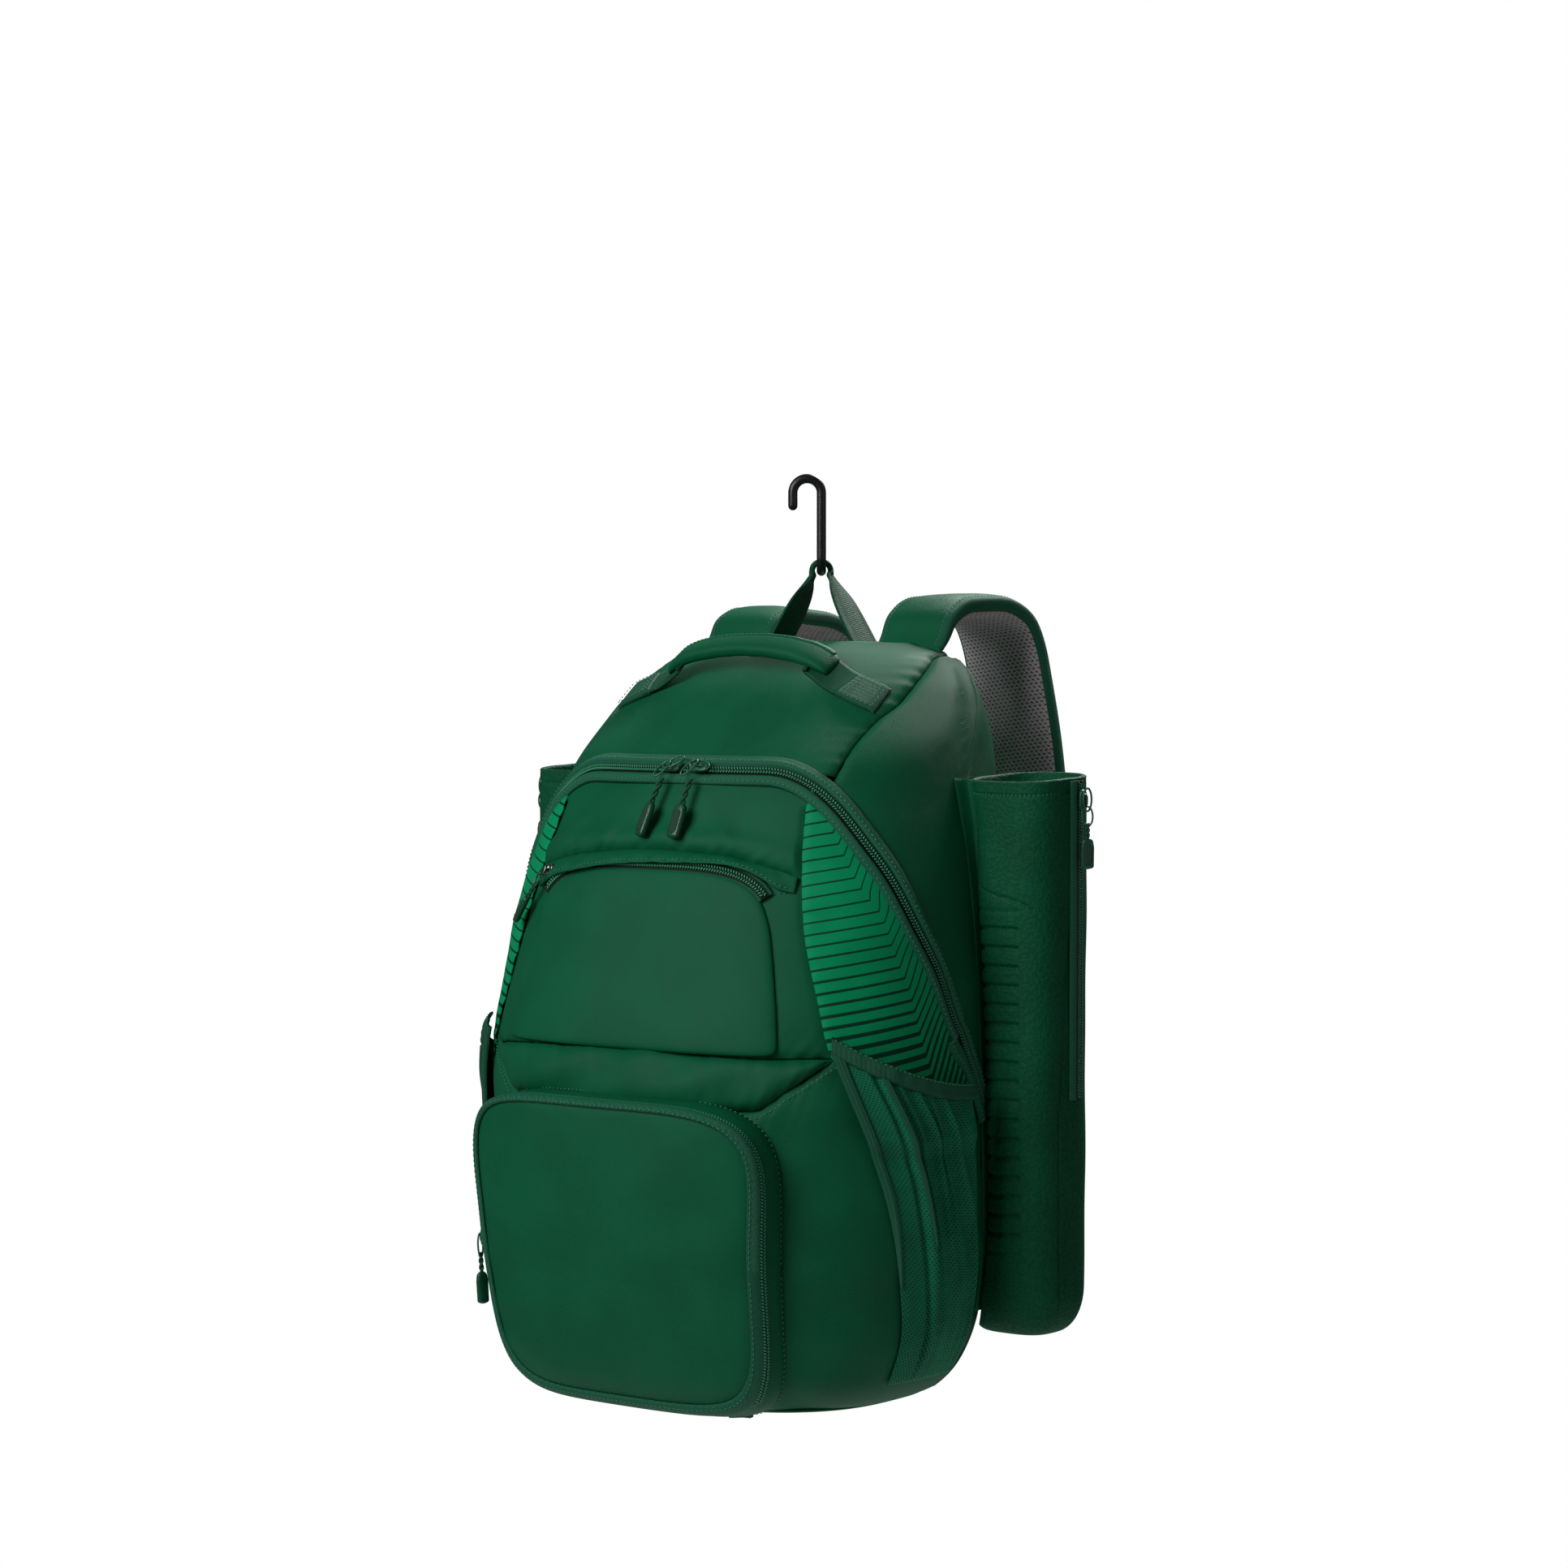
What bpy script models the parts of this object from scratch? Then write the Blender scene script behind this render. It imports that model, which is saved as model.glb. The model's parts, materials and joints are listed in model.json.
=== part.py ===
"""Baseball bat backpack, hung by a hook from a fence: a green fabric bag with two bat sleeves.

Bag coordinates: x to the right as seen from the front, y to the back, z up from the base, with
y = 0 at the haul loop. Left and right in the pieces' names are as seen from the front too. Every
piece hangs under one empty that puts the frame's origin inside the hook's upper bend, where the
bag hangs.
"""
import bpy
import bmesh
import numpy as np
from mathutils import Vector

# Clearances
GAP = 0.0003                # between pieces that touch face to face
SEAT = 0.0008               # between a curved skin and the strip that lies on it
POCKET_SEAT = 0.0009        # between the skin and a pocket's long straight rim

# Body of the bag
BODY_HEIGHT = 0.500
BODY_WIDTH = 0.364
BODY_DEPTH = 0.262
BODY_FRONT = 0.8626 * BODY_DEPTH     # from the haul loop's line forward to the flap
BODY_BACK = BODY_DEPTH - BODY_FRONT  # from that line back to the wearer's side
SHELL_WALL = 0.003
SHARP_EDGE = 35.0           # degrees between faces from which an edge is drawn sharp

# Horizontal sections of the body from base to top, as shares of the sizes above
SECTION_COLUMNS = ("height", "width", "widest", "front", "back", "front_round", "back_round")
SECTIONS = (
    (0.000, 0.700, 0.42, 0.850, -0.40, 2.8, 2.6),
    (0.016, 0.800, 0.40, 0.915, -0.10, 2.7, 2.5),
    (0.060, 0.905, 0.39, 0.975, 0.40, 2.6, 2.3),
    (0.130, 0.975, 0.38, 1.000, 0.85, 2.5, 2.1),
    (0.240, 1.000, 0.37, 1.000, 1.00, 2.5, 2.1),
    (0.400, 0.990, 0.37, 0.975, 1.00, 2.5, 2.1),
    (0.600, 0.950, 0.35, 0.885, 1.00, 2.5, 2.3),
    (0.720, 0.900, 0.29, 0.805, 0.95, 2.5, 2.8),
    (0.830, 0.835, 0.18, 0.695, 0.90, 2.5, 4.0),
    (0.900, 0.775, 0.12, 0.520, 0.83, 2.4, 4.4),
    (0.950, 0.705, 0.07, 0.370, 0.75, 2.4, 4.2),
    (0.984, 0.605, 0.04, 0.220, 0.58, 2.5, 3.6),
    (1.000, 0.440, 0.02, 0.100, 0.40, 2.6, 3.0),
)

# Facets: how finely each form is divided
BODY_COLUMNS = 40
POCKET_COLUMNS = 26
SLEEVE_COLUMNS = 18
STRAP_STATIONS = 17
ZIP_STATIONS = 15
TALLEST_ROW = 0.08          # a row of the body's faces that is taller than this share is halved

# Main zip: the rim of the front flap, as heights and turns round the skin
FLAP_TOP = 0.415
FLAP_BOTTOM = 0.014
RIM_COLUMNS = ("height", "turn")
RIM = (
    (0.000, 1.205),
    (0.300, 1.205),
    (0.420, 1.178),
    (0.560, 1.015),
    (0.680, 0.930),
    (0.760, 0.830),
    (0.835, 0.725),
    (0.890, 0.620),
    (0.940, 0.520),
    (0.965, 0.455),
    (0.985, 0.385),
    (1.000, 0.300),
)
ZIP_TAPE = 0.022            # width of the main zip's tape
ZIP_THICK = 0.0025
ZIP_END = 0.190             # height where the tape goes under the mesh pocket

# Pulls and sliders
SLIDER_LENGTH = 0.015
SLIDER_WIDTH = 0.008
SLIDER_THICK = 0.005
PULL_WIDTH = 0.008
PULL_THICK = 0.004
PULL_LENGTH = 0.056
SMALL_PULL_LENGTH = 0.045
MAIN_SLIDER_X = (-0.010, 0.018)

# Outlines of a slider and of a pull: a share of the length, and of the full width there
SLIDER_OUTLINE = ((-0.50, 0.70), (-0.25, 1.00), (0.25, 1.00), (0.50, 0.60))
PULL_OUTLINE = (
    (0.00, 0.50),
    (0.15, 0.50),
    (0.30, 0.50),
    (0.36, 1.00),
    (0.65, 1.00),
    (0.92, 0.94),
    (1.00, 0.70),
)

# Pockets on the flap
UPPER_BOTTOM = 0.236
UPPER_TOP = FLAP_TOP - 0.054
UPPER_WIDTH = 0.56 * BODY_WIDTH
UPPER_DEPTH = 0.010
LOWER_BOTTOM = 0.010
LOWER_TOP = 0.209
LOWER_WIDTH = 0.61 * BODY_WIDTH
LOWER_DEPTH = 0.030
POCKET_WALL = 0.002
UPPER_ROUND = 7.0           # roundness of the pockets' outlines
LOWER_ROUND = 5.0
LOWER_TAPER = 0.03          # how much narrower the lower pocket's foot is than its top
LOWER_FOOT = 0.35           # the lower pocket's depth at its foot, as a share of its full depth
LOWER_FULL = 0.55           # the share of its height at which it is fully deep
POCKET_EDGE = 7.0           # how suddenly their faces turn over at the edge
POCKET_RINGS = (0.45, 0.78, 0.90, 0.965, 0.993, 1.0)   # rings of their faces, from the middle to the rim
HOOD_HEIGHT = 0.014
HOOD_DEPTH = 0.006
HOOD_DROP = 0.013           # how far the hood's ends come down beside the middle
HOOD_BEND = 2.5             # how late along its width they do
HOOD_COLUMNS = 13
HOOD_END_COLUMNS = 2        # columns of the hood past each end of the zip
UPPER_ZIP_WIDTH = 0.009
UPPER_SLIDER = 0.93         # the slider's place, as a share of half the pocket's width
UPPER_PULL_LEAN = 0.024     # how far its pull hangs out beside the pocket
LOWER_ZIP_RISE = 0.019      # the zip slants from the flap up to the pocket's face
LOWER_ZIP_SPLAY = 0.008
LOWER_ZIP_ENDS = (-0.12, 0.62)   # turns round the pocket, from its right edge upwards

# Print panels between the pockets and the zip
PANEL_THICK = 0.0015
PANEL_BOTTOM = 0.216
PANEL_TOP = 0.392

# Their inner edge, as shares of the height and of half the upper pocket's width
PANEL_COLUMNS = ("height", "side")
PANEL_EDGE = (
    (0.00, 1.530),
    (0.12, 1.410),
    (0.30, 1.315),
    (0.53, 1.190),
    (0.81, 1.080),
    (1.00, 1.020),
)

# Mesh pockets at the bottom corners
MESH_WALL = 0.002
MESH_BOTTOM = 0.022
MESH_TOP_FRONT = 0.238
MESH_TOP_BACK = 0.203
MESH_BULGE = 0.005
MESH_SIDES = 0.7            # how roundly the bulge starts at the pocket's sides
MESH_FOOT = 0.8             # how roundly it starts at the foot
MESH_FULL = 1.6             # rows and mouth: how early they are full
MESH_ROWS = 1.5             # how much closer the rows lie at the foot
BAND_WIDTH = 0.010
BAND_THICK = 0.003

# Their front edge, as shares of the height and turns round the skin
MESH_COLUMNS = ("height", "turn")
MESH_EDGE = (
    (0.00, 0.830),
    (0.10, 0.818),
    (0.33, 0.776),
    (0.55, 0.730),
    (0.78, 0.648),
    (0.96, 0.570),
    (1.00, 0.552),
)

# Bat sleeves
SLEEVE_PROUD = 0.044        # how far each sleeve stands out past the body
SLEEVE_TOP = 0.411
SLEEVE_BOTTOM = 0.045
SLEEVE_DEPTH_TOP = 0.068
SLEEVE_DEPTH_BOTTOM = 0.062
SLEEVE_MIDDLE = -0.022      # y of its middle
SLEEVE_WALL = 0.003
SLEEVE_ROUND = 2.4
SLEEVE_TOE = 0.030          # height of the rounded bottom
SLEEVE_SOLE = 0.55          # width of the flat under it, as a share
TOE_ROWS = (0.0, 0.08, 0.35, 1.0)
SLEEVE_ZIP_END = 0.200
SLEEVE_ZIP_WIDTH = 0.012
SLEEVE_ZIP_ANGLE = 0.08     # radians round from the outermost line to the back

# Webbing, loop and hook
WEBBING_THICK = 0.0018
LOOP_WIDTH = 0.025
LOOP_SPREAD = 0.080         # between the loop's legs
LOOP_FOLD = 0.32            # its width over the hook, as a share of its own width
LOOP_WRAP = 15.0            # degrees past level that it wraps the hook on each side
HOOK_ROD = 0.0065
HOOK_BEND = 0.0098          # centreline radius of both bends
HOOK_FOOT = BODY_HEIGHT + 0.0482   # height of the lower bend's centreline
HOOK_HEAD = HOOK_FOOT + 0.0633     # height of the upper bend's centreline
HOOK_TURN = 37.0            # degrees that the hook is turned on its stem
HOOK_TIP = 0.012            # straight end past each bend

# Grab handle
HANDLE_LENGTH = 0.132
HANDLE_WIDTH = 0.019
HANDLE_THICK = 0.010
HANDLE_THINNING = 0.45      # share of the thickness lost at the sewn ends
HANDLE_HEIGHT = BODY_HEIGHT - 0.018
HANDLE_DROP = 0.004         # its ends below its middle
HANDLE_LAP = 0.012          # webbing under each end
HANDLE_STANDOFF = 0.010
PATCH_REACH = 0.044         # webbing from the handle's end to the far end of its patch
PATCH_DROP = 0.018          # the patch's far end below the handle's end

# Shoulder straps
STRAP_WIDTH = 0.066
STRAP_THICK = 0.012
STRAP_REACH = BODY_BACK + 0.076     # back from the loop's line
STRAP_DROOP = {"left": 0.012, "right": 0.002}   # how far each strap's top hangs below a stiff one's
STRAP_TOP = 0.4             # the share of its length that is its top
STRAP_ENDS = ((0, 0.6), (0.1, 1), (0.93, 1), (1, 0.6))   # thickness along it, as shares
STRAP_SPREAD = 0.412 * BODY_WIDTH   # between the two roots' middles

# Each strap's line, as shares of its reach, the body's height up from its top, and its spread and width
STRAP_COLUMNS = ("along", "back", "height", "out", "width")
STRAP_LINE = (
    (0.00, -0.06, 0.000, 1.00, 0.70),
    (0.03, 0.04, 0.003, 1.00, 0.72),
    (0.07, 0.14, 0.024, 1.00, 0.76),
    (0.12, 0.32, 0.043, 1.00, 0.82),
    (0.19, 0.60, 0.046, 1.02, 0.92),
    (0.28, 0.86, 0.022, 1.04, 1.00),
    (0.37, 0.97, -0.040, 1.08, 1.00),
    (0.50, 1.00, -0.160, 1.20, 1.00),
    (0.66, 0.97, -0.320, 1.34, 1.00),
    (0.82, 0.88, -0.480, 1.44, 0.94),
    (0.94, 0.76, -0.620, 1.50, 0.82),
    (1.00, 0.68, -0.690, 1.53, 0.62),
)

# Buckles and anchors at the straps' lower ends
ANCHOR_TURN = 1.58
BUCKLE_WIDTH = 0.034
BUCKLE_HEIGHT = 0.026
BUCKLE_THICK = 0.006
BUCKLE_SLOT = (0.55, 0.85)  # from where to where the slot runs, as shares of its height
ANCHOR_HEIGHT = 0.055
ANCHOR_LENGTH = 0.040

TAB_WIDTH = 0.016
TAB_LENGTH = 0.009
TAB_PLACE = 0.073           # x of its middle

# Colours and finish: base colour, roughness, metallic
FABRIC = ((0.018, 0.095, 0.050), 0.75, 0.0)
PRINT = ((0.012, 0.300, 0.130), 0.60, 0.0)
NEOPRENE = ((0.012, 0.070, 0.038), 0.70, 0.0)
WEBBING = ((0.020, 0.090, 0.050), 0.80, 0.0)
MESH = ((0.015, 0.080, 0.042), 0.85, 0.0)
PLASTIC = ((0.015, 0.080, 0.045), 0.45, 0.0)
STEEL = ((0.015, 0.015, 0.016), 0.35, 0.0)

SIDES = (("left", -1), ("right", 1))
SQUARE = np.array([(-1, -1), (1, -1), (1, 1), (-1, 1)], float)


def smooth_column(xs, ys, at):
    """A monotone cubic through the points (xs, ys), read at the places at."""
    xs, ys = np.asarray(xs, float), np.asarray(ys, float)
    run, slope = np.diff(xs), np.diff(ys) / np.diff(xs)
    bend = np.empty_like(ys)
    bend[0], bend[-1] = slope[0], slope[-1]
    bend[1:-1] = 0.0
    before, after = slope[:-1], slope[1:]
    same = before * after > 0
    near, far = 2 * run[1:] + run[:-1], run[1:] + 2 * run[:-1]
    bend[1:-1][same] = (near + far)[same] / (near[same] / before[same] + far[same] / after[same])
    cell = np.clip(np.searchsorted(xs, at, side="right") - 1, 0, len(xs) - 2)
    t = np.clip((at - xs[cell]) / run[cell], 0, 1)
    return (ys[cell] * (1 + 2 * t) * (1 - t) ** 2 + bend[cell] * run[cell] * t * (1 - t) ** 2
            + ys[cell + 1] * t * t * (3 - 2 * t) + bend[cell + 1] * run[cell] * t * t * (t - 1))


def table_column(table, columns, name, at):
    """One named column of a table whose first column is the place along it."""
    rows = np.array(table)
    return smooth_column(rows[:, 0], rows[:, columns.index(name)], at)


def body_section(z):
    """Half width, widest y, front y, back y and the two roundnesses of the body at height z."""
    share = np.asarray(z, float) / BODY_HEIGHT
    width, widest, front, back, front_round, back_round = (
        table_column(SECTIONS, SECTION_COLUMNS, name, share) for name in SECTION_COLUMNS[1:])
    return (width * BODY_WIDTH / 2, -widest * BODY_FRONT, -front * BODY_FRONT, back * BODY_BACK,
            front_round, back_round)


def body_point(turn, z):
    """The body's skin: turn 0 is the middle of the front, 1 the widest place, 2 the back's middle."""
    turn, z = np.broadcast_arrays((np.asarray(turn, float) + 2) % 4 - 2, np.asarray(z, float))
    half, widest, front, back, front_round, back_round = body_section(z)
    ahead = np.abs(turn) <= 1
    angle = np.where(ahead, np.abs(turn), 2 - np.abs(turn)) * np.pi / 2
    power = 2 / np.where(ahead, front_round, back_round)
    x = half * np.abs(np.sin(angle)) ** power * np.sign(turn)
    y = widest + (np.where(ahead, front, back) - widest) * np.abs(np.cos(angle)) ** power
    return np.stack([x, y, z], -1)


def turn_at_x(x, z):
    """The turn of the place on the body's front that is x to the side at height z."""
    half, _, _, _, front_round, _ = body_section(z)
    share = np.clip(np.abs(x) / half, 0, 1)
    return np.arcsin(share ** (front_round / 2)) * 2 / np.pi * np.sign(x)


def turn_at_y(y, z):
    """The turn of the place on the body's side that is y back at height z."""
    _, widest, front, back, front_round, back_round = body_section(z)
    ahead = y < widest
    share = np.clip((y - widest) / (np.where(ahead, front, back) - widest), 0, 1)
    turn = np.arccos(share ** (np.where(ahead, front_round, back_round) / 2)) * 2 / np.pi
    return np.where(ahead, turn, 2 - turn)


def side_at_y(y, z):
    """Half the body's width at depth y and height z."""
    half, widest, front, back, front_round, back_round = body_section(z)
    ahead = y < widest
    share = np.clip((y - widest) / (np.where(ahead, front, back) - widest), 0, 1)
    power = np.where(ahead, front_round, back_round)
    return half * (1 - share ** power) ** (1 / power)


class Surface:
    """A surface given by a point function of u and v; its outer side is u's way across v's."""

    step = 1e-4

    def __init__(self, point):
        self.point = point

    def tangents(self, u, v):
        along_u = (self.point(u + self.step, v) - self.point(u - self.step, v)) / (2 * self.step)
        along_v = (self.point(u, v + self.step) - self.point(u, v - self.step)) / (2 * self.step)
        return along_u, along_v

    def normal(self, u, v):
        out = np.cross(*self.tangents(u, v))
        return out / np.linalg.norm(out, axis=-1, keepdims=True)

    def lifted(self, u, v, lift):
        u, v, lift = np.broadcast_arrays(*(np.asarray(a, float) for a in (u, v, lift)))
        return self.point(u, v) + self.normal(u, v) * lift[..., None]

    def beside(self, us, vs, offsets):
        """The grid of (u, v) that lies beside a path at the given distances, a row for each point."""
        us, vs = np.asarray(us, float), np.asarray(vs, float)
        path = self.point(us, vs)
        along = np.gradient(path, axis=0)
        across = np.cross(self.normal(us, vs), along)
        across /= np.linalg.norm(across, axis=-1, keepdims=True)
        du, dv = self.tangents(us, vs)
        uu, uv, vv = (du * du).sum(-1), (du * dv).sum(-1), (dv * dv).sum(-1)
        wu, wv = (across * du).sum(-1), (across * dv).sum(-1)
        whole = uu * vv - uv * uv
        step_u, step_v = (vv * wu - uv * wv) / whole, (uu * wv - uv * wu) / whole
        offsets = np.asarray(offsets, float)
        return us[:, None] + step_u[:, None] * offsets, vs[:, None] + step_v[:, None] * offsets


body = Surface(body_point)


def finish(name, finish_values):
    """A Principled material with the piece's colour, roughness and metallic value."""
    colour, roughness, metallic = finish_values
    material = bpy.data.materials.new(name)
    material.use_nodes = True
    shader = material.node_tree.nodes["Principled BSDF"]
    shader.inputs["Base Color"].default_value = (*colour, 1)
    shader.inputs["Roughness"].default_value = roughness
    shader.inputs["Metallic"].default_value = metallic
    return material


def solid(name, corners, faces, look, outward=True):
    """One named object from corner points and faces, hung under the hang point."""
    mesh = bpy.data.meshes.new(name)
    mesh.from_pydata([tuple(corner) for corner in corners], [], faces)
    if outward:
        edit = bmesh.new()
        edit.from_mesh(mesh)
        bmesh.ops.recalc_face_normals(edit, faces=edit.faces)
        edit.to_mesh(mesh)
        edit.free()
    mesh.shade_smooth()
    mesh.set_sharp_from_angle(angle=np.radians(SHARP_EDGE))
    mesh.materials.append(finish(name, look))
    return place(bpy.data.objects.new(name, mesh))


def place(piece):
    """Links an object and hangs it under the hang point's empty."""
    bpy.context.scene.collection.objects.link(piece)
    piece.parent = bpy.data.objects["hang_point"]
    return piece


def strip_faces(rows, columns, start, wrap=False, flip=False):
    """Quads of a grid of points numbered row by row from start."""
    faces = []
    for row in range(rows - 1):
        for column in range(columns if wrap else columns - 1):
            after = (column + 1) % columns
            quad = (start + row * columns + column, start + row * columns + after,
                    start + (row + 1) * columns + after, start + (row + 1) * columns + column)
            faces.append(quad[::-1] if flip else quad)
    return faces


def sheet(name, outer, inner, look):
    """A closed wall between two grids of the same shape, with its rim all round."""
    rows, columns = outer.shape[:2]
    count = rows * columns
    faces = strip_faces(rows, columns, 0) + strip_faces(rows, columns, count, flip=True)
    rim = [(0, c) for c in range(columns)]
    rim += [(r, columns - 1) for r in range(1, rows)]
    rim += [(rows - 1, c) for c in range(columns - 2, -1, -1)]
    rim += [(r, 0) for r in range(rows - 2, 0, -1)]
    ring = [r * columns + c for r, c in rim]
    for here, there in zip(ring, ring[1:] + ring[:1]):
        faces.append((there, here, count + here, count + there))
    return solid(name, np.concatenate([outer.reshape(-1, 3), inner.reshape(-1, 3)]), faces, look)


def cup(name, outer, inner, look):
    """A closed wall between two stacks of rings, shut at the first ring and open at the last."""
    rows, columns = outer.shape[:2]
    deep = inner.shape[0]
    count = rows * columns
    faces = strip_faces(rows, columns, 0, wrap=True)
    faces += strip_faces(deep, columns, count, wrap=True, flip=True)
    faces.append(tuple(range(columns))[::-1])
    faces.append(tuple(count + c for c in range(columns)))
    top, inner_top = (rows - 1) * columns, count + (deep - 1) * columns
    for c in range(columns):
        after = (c + 1) % columns
        faces.append((top + c, top + after, inner_top + after, inner_top + c))
    return solid(name, np.concatenate([outer.reshape(-1, 3), inner.reshape(-1, 3)]), faces, look)


def bar(name, rings, look):
    """A closed solid through a row of rings, with flat ends."""
    rows, columns = rings.shape[:2]
    faces = strip_faces(rows, columns, 0, wrap=True)
    faces.append(tuple(range(columns))[::-1])
    faces.append(tuple((rows - 1) * columns + c for c in range(columns)))
    return solid(name, rings.reshape(-1, 3), faces, look)


def rounded_ring(count, roundness):
    """Points round a unit square whose corners are rounded, as shares of half width and thickness."""
    angle = (np.arange(count) + 0.5) * 2 * np.pi / count
    ways = np.stack([np.cos(angle), np.sin(angle)], -1)
    return np.sign(ways) * np.abs(ways) ** (2 / roundness)


def swept(centres, side, widths, thicks, ring):
    """Rings along a line of centres: side is the width's way, and the thickness is square to both."""
    centres, side = np.asarray(centres, float), np.asarray(side, float)
    along = np.gradient(centres, axis=0)
    along /= np.linalg.norm(along, axis=-1, keepdims=True)
    side = np.broadcast_to(side, centres.shape)
    side = side - (side * along).sum(-1, keepdims=True) * along
    side = side / np.linalg.norm(side, axis=-1, keepdims=True)
    face = np.cross(along, side)
    widths = np.broadcast_to(widths, len(centres))[:, None, None]
    thicks = np.broadcast_to(thicks, len(centres))[:, None, None]
    return (centres[:, None] + side[:, None] * ring[None, :, :1] * widths / 2
            + face[:, None] * ring[None, :, 1:] * thicks / 2)


def tape(name, surface, us, vs, width, lift, thick, look, strands=4):
    """A flat strip of the given width that follows a path on a surface."""
    offsets = np.linspace(-width / 2, width / 2, strands + 1)
    u, v = surface.beside(us, vs, offsets)
    return sheet(name, surface.lifted(u, v, lift + thick), surface.lifted(u, v, lift), look)


def carve(piece, cutter, operation):
    """Cuts a piece by a guide solid, which stays out of the model."""
    cut = piece.modifiers.new("cut", "BOOLEAN")
    cut.object = cutter
    cut.operation = operation
    cut.solver = "EXACT"
    cutter.hide_render = True
    cutter.display_type = "WIRE"


def rim_turn(z):
    """The turn of the flap's rim at height z."""
    share = (z - FLAP_BOTTOM) / (FLAP_TOP - FLAP_BOTTOM)
    return table_column(RIM, RIM_COLUMNS, "turn", share)


def hang_point():
    """The place inside the hook's upper bend, in bag coordinates."""
    across, _ = hook_ways()
    return hook_stem() - across * HOOK_BEND + np.array((0, 0, HOOK_HEAD - HOOK_ROD / 2))


def hook_ways():
    """The level ways of the hook's upper and lower bends."""
    turn = np.radians(HOOK_TURN)
    return np.array((np.cos(turn), np.sin(turn), 0)), np.array((-np.sin(turn), np.cos(turn), 0))


def hook_stem():
    """Foot of the stem, so that the lower bend's middle lies under the haul loop."""
    return -hook_ways()[1] * HOOK_BEND


def make_body():
    """The shell and the flap: one hollow form, parted along the zip's rim."""
    heights = np.array(SECTIONS)[:, 0]
    tall = heights[1:] - heights[:-1] > TALLEST_ROW
    heights = np.sort(np.concatenate([heights, ((heights[1:] + heights[:-1]) / 2)[tall]]))
    z = heights[:, None] * BODY_HEIGHT
    turn = (np.arange(BODY_COLUMNS) * 4 / BODY_COLUMNS - 2)[None, :]
    outer = body.lifted(turn, z, 0)
    inner = body.lifted(turn, z, -SHELL_WALL)
    rows, columns = outer.shape[:2]
    count = rows * columns
    ring = tuple(range(columns))
    faces = strip_faces(rows, columns, 0, wrap=True)
    faces += strip_faces(rows, columns, count, wrap=True, flip=True)
    faces += [ring[::-1], tuple((rows - 1) * columns + c for c in ring)]
    faces += [tuple(count + c for c in ring), tuple(count + (rows - 1) * columns + c for c in ring[::-1])]
    corners = np.concatenate([outer.reshape(-1, 3), inner.reshape(-1, 3)])
    for name, operation, clear in (("main_shell", "DIFFERENCE", 0.0), ("front_flap", "INTERSECT", GAP)):
        piece = solid(name, corners, faces, FABRIC, outward=False)
        carve(piece, flap_region(name + "_region", clear), operation)


def flap_region(name, clear):
    """A prism along x that holds the flap, drawn in by the clearance."""
    z = FLAP_TOP - (FLAP_TOP - FLAP_BOTTOM) * (1 - np.linspace(0, 1, ZIP_STATIONS + 2)) ** 2
    y = body_point(rim_turn(z), z)[:, 1]
    z = np.clip(z, FLAP_BOTTOM + clear, FLAP_TOP - clear)
    far = -2 * BODY_FRONT
    profile = [(far, z[0]), *zip(y - clear, z), (far, z[-1])]
    corners = [(x, py, pz) for x in (-BODY_WIDTH, BODY_WIDTH) for py, pz in profile]
    count = len(profile)
    faces = [tuple(range(count)), tuple(range(2 * count - 1, count - 1, -1))]
    faces += [(i, (i + 1) % count, count + (i + 1) % count, count + i) for i in range(count)]
    return solid(name, corners, faces, FABRIC)


def zip_path():
    """Turns and heights along the main zip, from the bottom right over the top to the bottom left."""
    z = FLAP_TOP - (FLAP_TOP - ZIP_END) * (1 - np.linspace(0, 1, ZIP_STATIONS)) ** 2
    turn = rim_turn(z)
    top = np.linspace(turn[-1], -turn[-1], 11)[1:-1]
    return (np.concatenate([turn, top, -turn[::-1]]),
            np.concatenate([z, np.full(len(top), FLAP_TOP), z[::-1]]))


def make_main_zip():
    """Tape along the rim, with two sliders on its top run and their pulls."""
    turns, z = zip_path()
    tape("main_zip", body, turns, z, ZIP_TAPE, SEAT, ZIP_THICK, WEBBING)
    for (side, _), x in zip(SIDES, MAIN_SLIDER_X):
        turn = turn_at_x(np.array(x), np.array(FLAP_TOP))
        make_slider("main_zip", side, body, float(turn), FLAP_TOP, (1, 0, 0), SEAT + ZIP_THICK + GAP,
                    PULL_LENGTH)


def make_slider(zip_name, side, surface, u, v, way, lift, length, lean=0.0):
    """A slider body on a zip, and the moulded pull that hangs from it."""
    label = f"_{side}" if side else ""
    way = np.array(way, float)
    foot, out = surface.lifted(u, v, lift), surface.normal(np.array(u), np.array(v))
    way = way - (way @ out) * out
    way /= np.linalg.norm(way)
    middle = foot + out * SLIDER_THICK / 2
    share, width = np.array(SLIDER_OUTLINE).T
    ends = middle + way * share[:, None] * SLIDER_LENGTH
    rings = swept(ends, np.cross(out, way), SLIDER_WIDTH * width, SLIDER_THICK, rounded_ring(8, 4))
    bar(f"{zip_name}_slider{label}", rings, PLASTIC)
    share, width = np.array(PULL_OUTLINE).T
    stretch_u, stretch_v = (np.linalg.norm(way) for way in surface.tangents(np.array(u), np.array(v)))
    us, vs = u + share * lean / stretch_u, v - share * np.sqrt(length ** 2 - lean ** 2) / stretch_v
    line = surface.lifted(us, vs, lift + SLIDER_THICK + GAP + PULL_THICK / 2)
    side_way = np.cross(surface.normal(us, vs), np.gradient(line, axis=0))
    rings = swept(line, side_way, PULL_WIDTH * width, PULL_THICK, rounded_ring(6, 3))
    bar(f"{zip_name}_pull{label}", rings, PLASTIC)


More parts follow.
